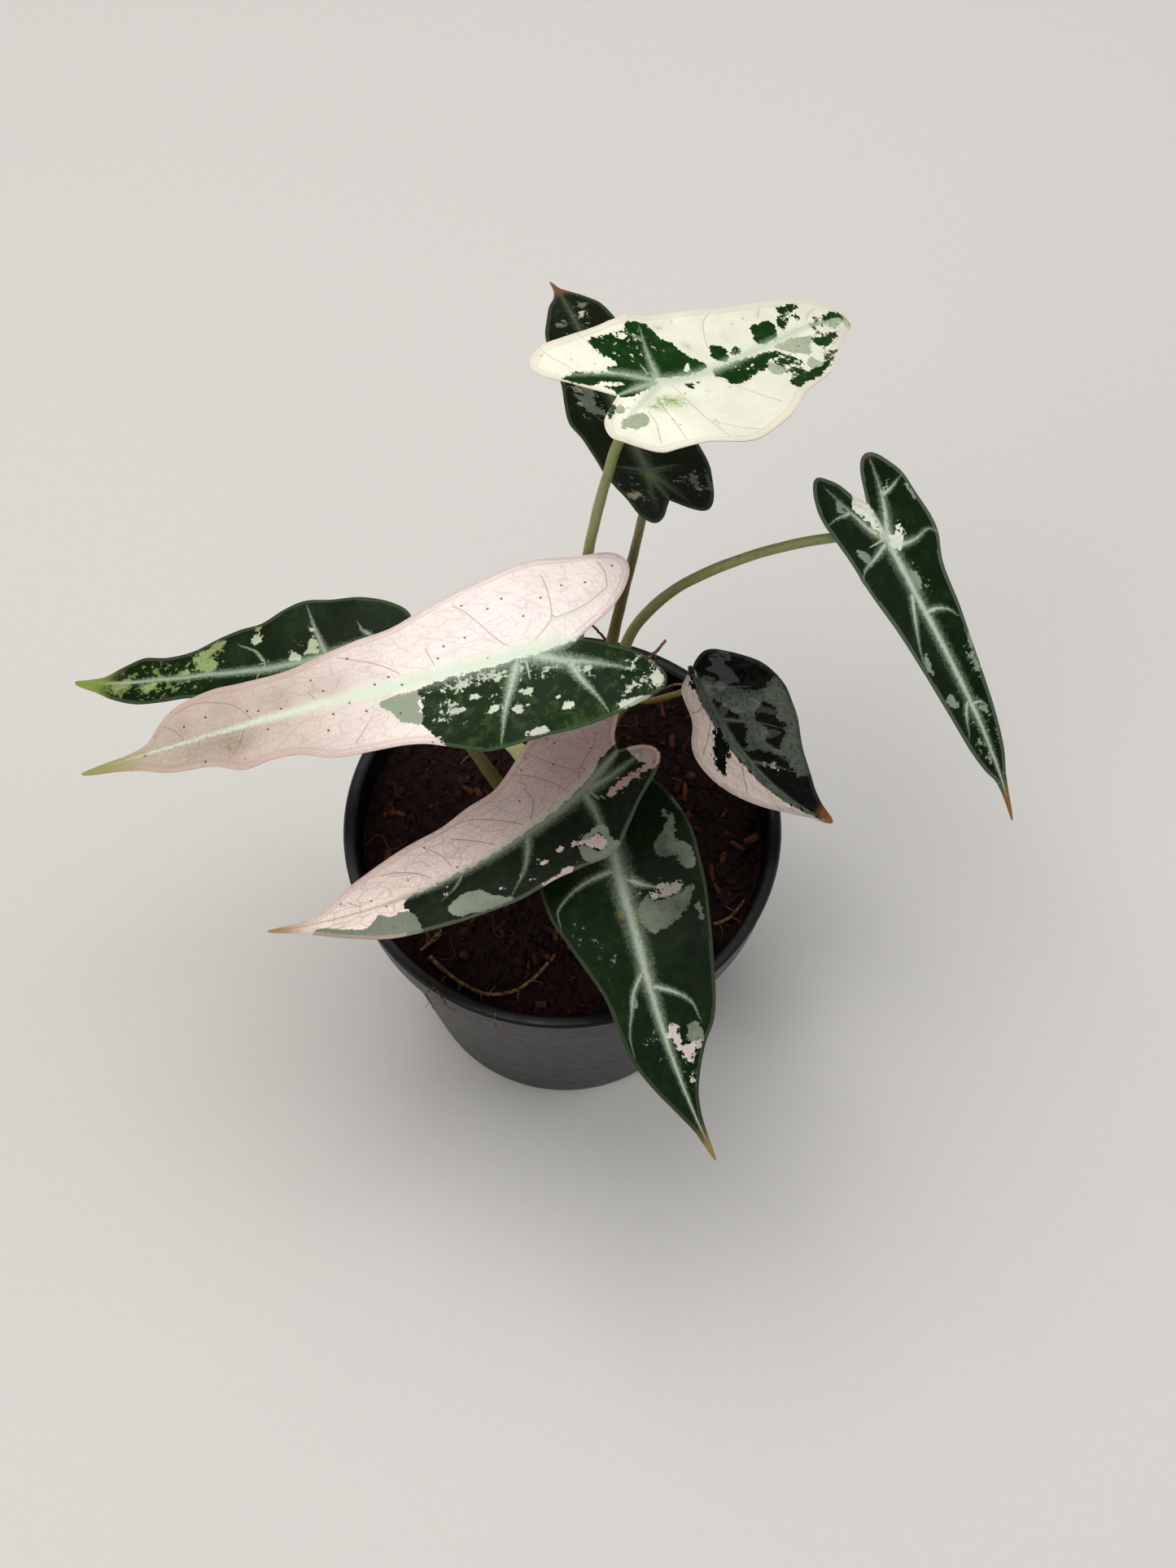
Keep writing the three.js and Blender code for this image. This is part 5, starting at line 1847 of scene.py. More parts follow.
def rear_leaf() -> Blade:
    """The dark blade behind the cream one, lobes towards the viewer.

    Returns:
        The blade.
    """
    shape = LeafShape(
        umbo=(21.6, 32.4, 214), length=89, heading=(106, 108, 104), pitch=(-23, -10, -44), roll=(14, 2),
        sinus=11, skew=0.15,
        left=Half("-22 9, -19 11.3, -12 11.5, -7 12, 0 12.3, 8 12.7, 15 13.1, 21 14.6, 28 13.6, 36 11.7, "
                  "45 10.9, 54 10, 62 7.2, 68 4.9, 73 2.4, 80 0.8, 89 0",
                  "-22 9, -21 7, -18 4.4, -14 1.9, -11 0", 10, 0, (0.5, 22, 0)),
        right=Half("-18 5.6, -16 8.2, -9 11.7, -4 13.5, 0 14.7, 7 14.9, 21 14.6, 36 12.3, 45 11, 56 9.9, "
                   "65 8.2, 70 5.6, 75 2.8, 80 0.8, 89 0",
                   "-18 5.6, -16.5 3.4, -14 1.7, -11 0", 10, 0, (0.5, 24, 60)))
    marks = Markings(
        base=Tissue.DARK,
        midrib="-11 0.4, -1 2, 12 1.9, 57 1.1, 71 0.8, 82 0.2",
        stains="0 0 2.6 2 0.5",
        patches="""sage: 24 4, 26 8, 31 9.6, 33 7, 38 10, 39.4 5, 34 3.6, 30 5.6; sage: 57.8 3.4, 59 5.6,
        60.6 5, 60.2 3.4; pale: 62 -1.4, 63.4 -1.6, 64 -2.8, 62.6 -3; sage: 65.6 -3, 67.4 -3.2, 67.4 -4.6,
        66 -4.6; pale: -13 7.6, -11 8.4, -9.4 7.2, -8.6 5.4, -10.4 5.2, -11.6 6.2; sage: -8.4 -9.4, -5 -9,
        -2.4 -9.6, -4.6 -10; sage: -11 -12, -6 -12.2, -0.6 -13, -4 -13.6, -9 -13""",
        ribs="""1.5 0.6: 0 0, -6 1.6, -15 2.5; 1.7 0.5: 0 -1, -8 -4, -14 -6; 1.3 0.4: 2.7 1, 2.9 5, 2.7 9;
        1.3 0.4: 2.7 -1, 2.9 -5, 2.7 -8; 0.6 0.2: 18 0.8, 21 4.4, 26 8; 0.6 0.2: 18 -0.8, 22 -5, 28 -9;
        0.5 0.15: 42 0.8, 46 4, 50 6; 0.5 0.15: 42 -0.8, 46 -4, 51 -6""",
        speckles="-8 6 6 5 0.75, -6 -10 5 5 0.65, 30 7 8 4 0.85, 62 0 9 5 0.5",
        tones="66 0 14 14 0.5")
    skin = LeafSkin(
        pale="#a59a88", pale_far="#a59a88", dark="#0e1608", light="#18220f", sage="#5b6358",
        sage_dark="#454d40", silver="#4c5747", core="#6e7c62", fleck="#7d7d6b", rib_strength=0.5,
        core_strength=0.25, margin_on_dark="#475040", stain="#7d8c4c", tail="#7a4a38", tail_from=72,
        tail_to=78)
    return Blade("leaf_rear", "dark_blade", shape, marks, skin)


def hanging_leaf() -> Blade:
    """The narrow dark blade hanging at the right.

    Returns:
        The blade.
    """
    shape = LeafShape(
        umbo=(78.3, 24.2, 201), length=81, heading=(-59, -54, -58), pitch=(-27, -39, -60), roll=(0, 0),
        sinus=9, skew=0.05,
        left=Half("-20 6, -19 8, -16 9.9, -12 11.6, -6 12.1, 0 12.5, 5 12.2, 12 9.9, 23 8.6, 32 7.3, "
                  "41 6.1, 51 4.9, 61 3.3, 67 1.7, 73 0.8, 81 0",
                  "-20 6, -19 4, -16 2.3, -12 1, -9 0", 5, 0, (0.4, 20, 30)),
        right=Half("-20 8.4, -19 10, -15 11.9, -11 12.6, -4 12, 3 11.3, 10 10.7, 20 9.2, 31 8.2, 43 7.1, "
                   "55 5.7, 63 3.7, 68 1.6, 73 0.8, 81 0",
                   "-20 8.4, -19 6.6, -16 4, -12 2.1, -9 0", 5, 0, (0.4, 23, 0)))
    marks = Markings(
        base=Tissue.DARK,
        midrib="-9 0.3, 0 1.7, 20 1.4, 40 1.3, 55 0.9, 70 0.4, 81 0.2",
        patches="""pale: -1.6 4.6, 0 4.2, 3 3.4, 4.6 2.2, 3.4 0.6, -0.6 0.4, 0.2 2.6; sage: 9.7 0.8, 10.6 2,
        12.4 2.6, 14.7 2.3, 15.6 0.9; pale: -12.2 -3, -8.7 -0.8, -5 -0.5, -1 -0.8, -3.6 -2.4, -6.4 -3.4,
        -9.5 -3.9; sage: -0.4 -8.3, 1.4 -6.8, 3.4 -6.2, 4.4 -7.4, 2.6 -8.2, 0.6 -8.7; sage: 29.6 -5.4,
        32 -5.2, 34.4 -6.2, 33.4 -6.9, 30.6 -6.6; sage: 40.8 -4, 42.6 -3.5, 45 -3.4, 45.2 -4.8, 43.6 -5.7,
        41.2 -5.6; sage: -9 10.2, -6.4 10.3, -4.8 11, -7.4 11.2; sage: 35.2 5.2, 37.6 4.9, 39.9 5.2,
        38.4 6.2, 36 6.4; sage: 30 7.2, 33 6.2, 36 6.4, 33 7.4; sage: 48 2, 49.6 1.4, 50 2.4, 48.6 3;
        sage: -12 -6.6, -9.6 -7.4, -10.4 -8.2, -12.4 -7.6""",
        ribs="""1.7 0.35: 0 0.5, -6 2.9, -12 4.4, -18 5.2; 0.8 0.3: -9.3 4.6, -10 7, -11.6 10.7;
        1.3 0.45: 3 1, 3.8 6, 3 10.2, 4.7 12; 1.1 0.3: 20.7 0.7, 21.2 3.2, 22.8 5.6, 25.5 7;
        0.8 0.3: 46.3 0.7, 46.8 2.4, 48.8 3.6; 1.5 0.35: 0 -0.7, -3.7 -3.2, -9.5 -5.6, -16.6 -8.5;
        0.7 0.25: -8.7 -5.6, -9.2 -9, -8.7 -12.2; 1.1 0.3: 1.7 -1.4, 3.4 -5.2, 4.7 -9, 7.2 -11.4;
        1.1 0.3: 15.5 -1, 21.3 -3.6, 26.3 -5.6, 31.3 -7.2; 0.9 0.3: 45.5 -1, 48 -2.6, 53 -4.4""",
        stains="-18.8 5.2 0.9 1.1 0.8, 33 -0.2 0.5 0.4 0.9",
        speckles="53 0 11 4 0.75, 1 6 5 3 0.3, 37 5.6 6 2 0.6, 63 0 7 3 0.5, 13 3 6 2 0.4",
        tones="34 -0.6 7 1.4 0.3")
    skin = LeafSkin(
        dark="#0e2009", light="#1d351a", sage="#8d9885", sage_dark="#76826e", pale="#e6ecda",
        pale_far="#e6ecda", silver="#7c8a75", core="#cdd8c4", core_strength=0.75, fleck="#8b957f",
        margin_on_dark="#7d8976", margin_width=0.3, margin_strength=0.35, stain="#7a3a22", tail="#94683e",
        tail_from=69, tail_to=74)
    return Blade("leaf_hanging", "dark_blade", shape, marks, skin)


def pink_leaf() -> Blade:
    """The big blade at the left: pale pink, with a dark sector on the lower half next to its stalk.

    Returns:
        The blade.
    """
    shape = LeafShape(
        umbo=(-5.9, -1.5, 192), length=119, heading=(192, 189, 182), pitch=(-5, -16, -28), roll=(0, -3),
        sinus=11, skew=0,
        left=Half("-29 15, -28 17.6, -25 19.3, -18 21.2, -10 21.9, 0 22.8, 9 23.8, 16 23, 23 20, "
                  "30 17.5, 42 16.1, 52 14.6, 60 11.7, 67 11.2, 74 11.6, 82 8.3, 93 6.9, 102 3.8, 110 2, "
                  "119 0",
                  "-29 15, -28 12.6, -25 8.5, -20 4.6, -15 2, -11 0", 2, -6, (0.9, 30, 0)),
        right=Half("-27 17, -25.5 21, -22 23.3, -14 24.4, -4 25.2, 7 23.2, 15 22, 24 18.5, 33 15, "
                   "43 14.2, 52 12.8, 61 11.2, 72 11.5, 81 12.3, 90 10.8, 95 7.6, 99 3, 104 1.4, "
                   "111 0.9, 119 0",
                   "-27 17, -26 13.3, -23 8.7, -19 5, -15 2.6, -11 0", 2, -6, (0.6, 34, 90)))
    marks = Markings(
        base=Tissue.PALE,
        midrib="-11 0.4, -5 2.2, 0 3, 10 2.6, 30 2, 55 1.2, 76 0.7, 100 0.3",
        midrib_shift="-11 0, 0 1, 30 0.9, 60 0.2, 80 0",
        patches="""dark: -30 14, -30 24, -14 26, 8 27, 20 24, 25 19, 26 17, 29 14.1, 29.4 11.2, 28.6 7,
        29 3.4, 20 2.3, 8 2.2, 0 1.8, -8 0.4, -14 0, -22 3, -28 8; sage: 29.2 4, 29.5 8, 29.3 12.3, 31.6 12,
        34.2 10.6, 36.6 7.4, 38.8 4.6, 36 3.8, 32 3.6""",
        ribs="""2.5 0.5: 0 2, -6 5, -14.3 7.9, -21 11.2; 1.4 0.35: -7.7 6.4, -9.4 11, -11.6 15, -13.6 19.5;
        1.7 0.45: 5 3.5, 6.5 7, 9.8 14.5, 12 21.4; 0.45 0.2: -6 -6.4, -14.3 -8, -20 -11.3, -21.4 -14.5;
        0.5 0.2: 38 2.6, 40 5, 42 8.4""",
        veins="""-0.6 -2, -4.6 -5.4, -6 -8, -6.4 -12, -6.2 -17, -5.6 -20; -5.4 -6.6, -14.3 -8.7, -20 -12;
        6.2 -2.4, 9 -6, 12 -11, 14.6 -15, 17 -17.4; 32.6 -2, 36 -5, 40.4 -7.7, 47 -10.9; 71 -1.6, 75 -6,
        80.6 -8.6, 86 -9.7, 91 -8.6; 89.5 -1.3, 92.3 -4.7, 96.5 -6.8; 40 5, 42.3 9, 45.7 12.8; -20.6 -12.6,
        -21 -17, -20 -20.4; 24 -2, 25.4 -6.6; 73 1, 75 5, 77.4 7.6; 54 -1.4, 55.4 -3.4""",
        stains="77 4.6 2 1.6 0.8, 76 3.4 6 3.4 0.55, 88 3 10 3.4 0.45, 86 0.4 16 1.5 0.45, 77 5 0.8 0.6 1",
        ripples="""2.4 1.3: 46 -1, 57 -8.6; 2.2 1.5: 60 -1.4, 68 -8.4; 1.8 1.1: 70.6 0.8, 73 4, 78 7.4;
        3 0.35: 30 -2, 40 -10; 2.4 0.9: 76 -1, 84 -8; 1.8 1: 88 -1, 95 -6; 2.4 0.8: 82 1, 88 6""",
        speckles="""-23 14 6 6 0.8, 15 5 14 2 1.05, 8 12 12 5 0.4, 24 10 4 4 0.75, -2 7.4 5 2 0.9,
        -5 16.5 1.5 1 2, 7.2 15.2 1.5 1.1 2, 12.4 13.6 1.6 1 2, 4 11 1.5 1 1.6, 3.4 21.6 2.6 1 2,
        -20.5 19.8 4 1 2, -26.8 15.4 1.7 2 2, -11.4 8.6 1.2 0.8 1.8, 16 9 1.2 0.8 1.6,
        20.6 11.4 2.2 0.7 1.7, 27.4 17.4 1.4 1 1.6, -3 14 1 0.6 1.5""",
        # Tones: painted shade in the hollows and folds of the far half, and a darker patch in the dark
        # sector.
        tones="""51 -5 4.5 3 -0.13, 64 -5 4.5 3 -0.15, 80 3 9 5 -0.14, 91 -4 6 4 -0.16, 80 -6 4 3 -0.1,
        12 12 9 8 -0.12""")
    # The pale tissue darkens from 12 to 80 mm along: partly greyer tissue, partly painted shade where the far
    # half curls.
    skin = LeafSkin(
        pale="#fdf1ec", pale_far="#c6b5a9", far_from=12, far_to=80, dark="#12280d", light="#35491f",
        mottle=0.85, sage="#95a08c", sage_dark="#8b9782", silver="#9db099", core="#d5e2cf",
        rib_on_pale="#dbe8d3", fleck="#c9cfbd", vein="#9c7f78", vein_strength=0.6, net=0.34,
        stain="#6d683c", margin="#c2a298", pricks=0.85, margin_on_dark="#4a5b42", tail="#97945c",
        tail_from=92, tail_to=114, ragged=0.8)
    return Blade("leaf_pink", "pink_blade", shape, marks, skin)


def low_back_leaf() -> Blade:
    """The dark blade under the pink one, at the left.

    Returns:
        The blade.
    """
    shape = LeafShape(
        umbo=(-47.6, 24.1, 152), length=85, heading=(187, 182, 164), pitch=(-7, -16, -16), roll=(0, 0),
        sinus=7, skew=0,
        left=Half("-19 7, -17 10, -12 11.5, -5 12.5, 5 14, 14 14, 23 13, 33 11, 42 9, 50 6.6, 58 6.7, "
                  "65 6.7, 72 5, 78 2.6, 85 0",
                  "-19 7, -17.5 4.5, -14 2.5, -10 1, -7 0", 5, 0, (0.5, 22, 0)),
        right=Half("-10 4.5, -9 7.4, -6 10, -3 11.6, 3 13.4, 10 14.4, 17 15.6, 23 14.3, 30 11.8, "
                   "36 11.3, 43 9.6, 50 7.5, 58 6.7, 65 7.2, 71 5, 77 1.8, 85 0",
                   "-10 4.5, -9.6 3, -8.6 1.2, -7 0", 5, 0, (0.6, 20, 40)))
    marks = Markings(
        base=Tissue.DARK,
        midrib="-7 0.5, 0 1.5, 15 1.5, 30 1.3, 40 1, 60 0.7, 85 0.3",
        midrib_shift="0 0, 12 1, 20 1.9, 28 1.9, 36 1, 46 0, 60 -0.5, 85 0",
        patches="""pale: 14.8 0.4, 18.6 -0.2, 18.2 -2.6, 16.6 -4.8, 15.4 -3; pale: 15.4 -6.4, 17.4 -6.6,
        17.2 -7.6, 15.6 -7.4; pale: 20 1, 23 0.4, 22.8 -1.2, 20.6 -1.4; pale: 30.6 -6.6, 33 -6.8, 32.2 -8.6,
        31 -9; sage: 30.2 -10, 32 -9.8, 31.6 -11, 30.4 -11; sage: 42.6 -2.6, 45 -0.8, 48 -1.2, 50.4 -2,
        49 -3.4, 50.6 -5, 48 -6.4, 44 -8.2, 40.2 -9.4, 41 -7.4, 44 -6.4, 45.4 -4.6, 44 -3.6; sage: 50 -1,
        53.4 -1, 52 -2.2; sage: 60 1, 61.4 3, 63 3.4, 64.6 1.4, 66 1, 62 0.4; sage: 69 -1, 72 -0.4,
        73.4 1.4, 72 3, 70 2, 68.4 0.6""",
        ribs="""0.6 0.25: 30 0.8, 31.6 3, 32 4.4; 1.1 0.3: 13.6 0.4, 14.4 -2.6, 15.7 -7.6, 17 -13.4;
        0.7 0.3: 1.4 -2.4, 3.2 -4, 4 -6; 0.45 0.3: 30.2 -1, 32.3 -4.2, 36.5 -6.7; 0.9 0.3: 3 0.8, 4.4 5,
        6 10; 1 0.3: -2 0.6, -8 4, -13 7""",
        speckles="20 -4 9 5 0.35, 62 0 15 6 0.95, 46 -5 7 4 0.8, 32 -9 4 3 0.4",
        # Tones: painted sheen at 37 mm along and on the lobe at -5 mm; the other two lighten spots of the
        # tissue.
        tones="37 -4 4 3 0.9, -5 -8 6 4 0.5, 22 -9 5 4 0.5, 48 3 7 2 0.3")
    skin = LeafSkin(
        pale="#b3bf9f", pale_far="#b3bf9f", dark="#0f1e0a", light="#1a2f12", sage="#8fa06c",
        sage_dark="#5d7040", silver="#8b9a84", core="#b9c6ae", fleck="#6d7c48", margin_on_dark="#4d5a40",
        tail="#7d8f45", tail_from=70, tail_to=80)
    return Blade("leaf_low_back", "dark_blade", shape, marks, skin)


def low_pink_leaf() -> Blade:
    """The blade at the low left: dusty pink on its upper half, dark on its lower half.

    Returns:
        The blade.
    """
    shape = LeafShape(
        umbo=(5.4, -11.5, 141), length=94, heading=(228, 201, 172), pitch=(5, -14, -29), roll=(2, -1),
        sinus=14, skew=0,
        left=Half("-21 7, -20 9.3, -15 11.8, -7 13.9, 0 16.6, 8 19.8, 14 17.8, 21 15.7, 30 15.4, 38 14, "
                  "49 11.9, 60 10, 69 6.9, 78 3.7, 86 1.5, 94 0",
                  "-21 7, -20.3 4.6, -18 2.3, -14 0", 3, -4, (0.6, 28, 0)),
        right=Half("-27 12, -25.5 15.3, -21 17.8, -13 19.2, -5 19.2, 3 18, 11 16, 20 13.7, 29 13.7, "
                   "38 12.8, 47 12.4, 55 11.4, 62 9.8, 70 6.8, 77 2.8, 84 1.1, 94 0",
                   "-27 12, -25 9, -22 7, -19 5.2, -16 3, -14 0", 3, -4, (0.7, 24, 60)))
    marks = Markings(
        base=Tissue.PALE,
        midrib="-14 0.5, -4 2, 5 2, 20 1.5, 50 0.9, 62 0.4, 90 0.2",
        midrib_shift="-14 0, 0 1.5, 5 1.6, 20 1.3, 50 0.8, 70 0.2",
        patches="""dark: -22 -0.5, -24 12, -10 17, 8 22, 30 18, 50 14, 56 12, 55.4 8, 54 5, 55 2, 52 0.9,
        30 0.9, 10 0.8, 0 0.4, -6 -0.6, -10 -1.6; pale: -20.8 6, -19.6 9.8, -16 10, -15.3 6.4, -15.6 1.4,
        -17.6 1.6, -20 4; sage: -18.2 4, -17.4 6, -16 5.4, -16.6 3.6; pale: -15.3 9.7, -10 9.2, -5 8.2,
        -0.4 7.6, -0.7 6.5, -5 6.2, -9 7, -12.3 7.6, -15.6 8; sage: 4.8 12.6, 6 16.4, 5.4 19.4, 11 20,
        13.4 18, 13 12.8, 9.8 11.4, 7 11.2; pale: 7 13.2, 7.4 16.6, 9.4 17.4, 10.5 15.6, 11.6 13, 13.4 11.6,
        12.8 10.8, 9.8 12.6; sage: 31.2 14.1, 35 14, 39.3 12.8, 44.5 10.8, 44.8 7.8, 40.2 6.6, 36.8 7.8,
        33.9 11.6; sage: 52.6 12, 56 13, 63.5 12, 72 9, 80 5.6, 78 1.8, 70 4.2, 65.2 5.2, 61.4 2.8,
        58.5 4.5, 55.2 4, 53 7; dark: -15 2.8, -13 3, -11 1, -12.4 -1.2, -14.6 0; pale: 17 14.6, 20 15.2,
        24 14.6, 24 16.4, 17 16.8; pale: 15 10.2, 16.2 10.8, 17 9.8, 15.8 9.4; pale: 20 10.6, 21.8 10.8,
        21.2 9.8; pale: 30.8 10.2, 32.2 11.2, 32.4 10""",
        ribs="""1.8 0.8: 0 2.5, -8 4, -16.5 4.8; 1.5 0.8: 2 3, 3.6 8, 6 13.4, 8 17.4; 1.2 0.3: 20.4 2.4,
        23 6.2, 26.4 9.8, 31 13; 0.5 0.2: 39 1.8, 42 4, 46 5.6""",
        veins="""-1 -1.6, -1.5 -4.2, 0 -7.6, 2.3 -13.4, 3.5 -16; 0 -1, -4 -3.8, -10.7 -5.5, -14 -7.6;
        16.4 -1.3, 12.7 -5, 12 -9.3; 19.3 -1.8, 22.7 -5.5, 27.7 -9.3, 32.7 -11.3, 44 -11.5; 40.2 -1.8,
        41.8 -6.3, 45.2 -10; 46.4 -1.8, 50.2 -4.7, 55.2 -6.8, 59.3 -7.6; 66 -1, 69.3 -3; 4 -1, 5.4 -6,
        9 -12, 12 -14.6; 28 -1.4, 32 -5, 37 -8.6""",
        speckles="-8 8 7 3 0.4, 10 13 6 6 0.3, 46 3 12 2.6 0.3, 30 11 10 4 0.25",
        tones="24 -12 8 4 -0.05, 40 8 20 6 0.2")
    # Dusky near the lobe, light towards the tip: partly the tissue's own dusty tone, partly painted shade of
    # the pink blade above.
    skin = LeafSkin(
        pale="#a28985", pale_far="#f9e6dd", far_from=-20, far_to=62, dark="#141c10", light="#212d1c",
        sage="#7b8374", sage_dark="#6a7264", silver="#76826f", core="#98a391", rib_on_pale="#b9b8a3",
        rib_strength=0.7, fleck="#a9a595", vein="#6d4f49", vein_strength=0.55, net=0.42, margin="#c2a298",
        margin_on_dark="#5f6a5a", tail="#a98a5c", tail_from=80, tail_to=92, ragged=0.6, pricks=0.7)
    return Blade("leaf_low_pink", "pink_blade", shape, marks, skin)


def front_leaf() -> Blade:
    """The dark blade that hangs over the pot's front.

    Returns:
        The blade.
    """
    shape = LeafShape(
        umbo=(12.8, -16.1, 125), length=91, heading=(-78, -74, -58), pitch=(-3, -12, -33), roll=(-12, -6),
        sinus=8, skew=0,
        left=Half("-15 9, -13.5 12.5, -9 16.3, -3 19.1, 4 20.7, 12 21.1, 20 21.1, 31 19.5, 41 17.9, "
                  "50 15.9, 57 13.2, 62 9.4, 68 5.8, 74 3, 81 1.4, 91 0",
                  "-15 9, -14 5.6, -11 2.5, -8 0", 9, 2, (0.5, 26, 0)),
        right=Half("-15 8, -13 12, -8 17, 0 21, 9 23, 18 23.6, 25 22.6, 30 19.8, 37 16.2, 44 13.2, "
                   "52 12.1, 60 11.1, 68 8.1, 76 4.3, 83 1.6, 91 0",
                   "-15 8, -14 5, -11 2.2, -8 0", 9, 2, (0.6, 25, 90)))
    marks = Markings(
        base=Tissue.DARK,
        midrib="-8 0.6, 0 1.8, 8 2.7, 15 3, 22 2.5, 30 2.2, 45 1.7, 60 1.1, 75 0.5, 90 0.1",
        midrib_shift="0 0, 10 -0.8, 20 -0.6, 30 0, 60 0",
        patches="""sage: -1.6 17.9, 2.2 16.7, 7.2 15.8, 8 18.8, 14.7 19.6, 14 15.8, 10.9 15, 10.5 11.7,
        7.2 10.2, 4.3 12.5, 0.5 15; sage: -2.8 14.4, -1.8 15.8, -0.4 15, -1.2 13.4; sage: 19 17.9, 23 16.7,
        25.5 14.6, 28.4 10.8, 30.5 6.3, 29.3 2.9, 23.8 2.3, 20.5 4.6, 20 9.6, 21 13.8; pale: 17.6 14.6,
        18.4 10.4, 20 6.3, 21.8 6.3, 21.6 9, 21.3 12.9, 18.8 14.6; sage: 55.5 8.8, 59.7 9.6, 61.3 6.3,
        58 5.8; pale: 60.5 8.8, 63 7.5, 63.4 5.4, 65.9 4.6, 63 2.9, 59.7 1.7, 56.3 1, 54.3 2.5, 57.2 3.6,
        60 3.3, 60.5 5.4; pale: 68.6 2.4, 69.6 3.6, 71.4 2.8, 69.6 2; sage: 45 -5.4, 46.6 -4.6, 48.6 -5.4,
        48 -6.8, 45.6 -6.4; sage: -9 18, -4 18, -1.6 19.4, -4 21, -10 20; sage: 24 17.8, 28 18.4, 30 17.4,
        26 16.9""",
        ribs="""1.1 0.3: 0 1, -4 5, -8 9.4; 1.1 0.3: 0 -1, -4 -5, -8 -9; 1.5 0.4: 15.6 2.4, 17 5, 18.8 8.7;
        1 0.35: 44.3 1.4, 46.8 5.8, 50.5 9.2, 55.4 10; 1.1 0.3: 12.4 -3, 14.4 -9, 17 -14, 20.4 -18.4,
        23 -20.5, 27 -20.4; 0.9 0.25: 40.5 -1.3, 45 -5, 49.7 -7, 55 -9.4, 60 -9.9""",
        stains="25.5 0.8 1.2 0.8 0.8, 24.2 -2.9 1 0.8 0.8, 40.5 -2 1.2 0.8 0.7",
        speckles="""29 -14 5 5 0.45, 38 -10 5 4 0.35, 58 -4 6 5 0.35, 60 4 7 5 0.4, 19 8 4 6 0.4,
        70 3 7 3 0.4""",
        # Tones: painted shade over the left half, which faces away from the light, and over the far part of
        # the right half; painted light on the near part of the right half.
        tones="20 13 46 9 -0.55, 62 -4 20 5 -0.3, 22 -8 16 6 0.15")
    skin = LeafSkin(
        pale="#d6cac4", pale_far="#d6cac4", dark="#0e2108", light="#1c3610", sage="#7f8977",
        sage_dark="#66705d", silver="#7f8c79", core="#c4d0bc", core_strength=0.6, fleck="#8b937c",
        margin_on_dark="#44503b", stain="#9a9440", tail="#8f7a4a", tail_from=80, tail_to=88, ragged=1.3)
    return Blade("leaf_front", "dark_blade", shape, marks, skin)


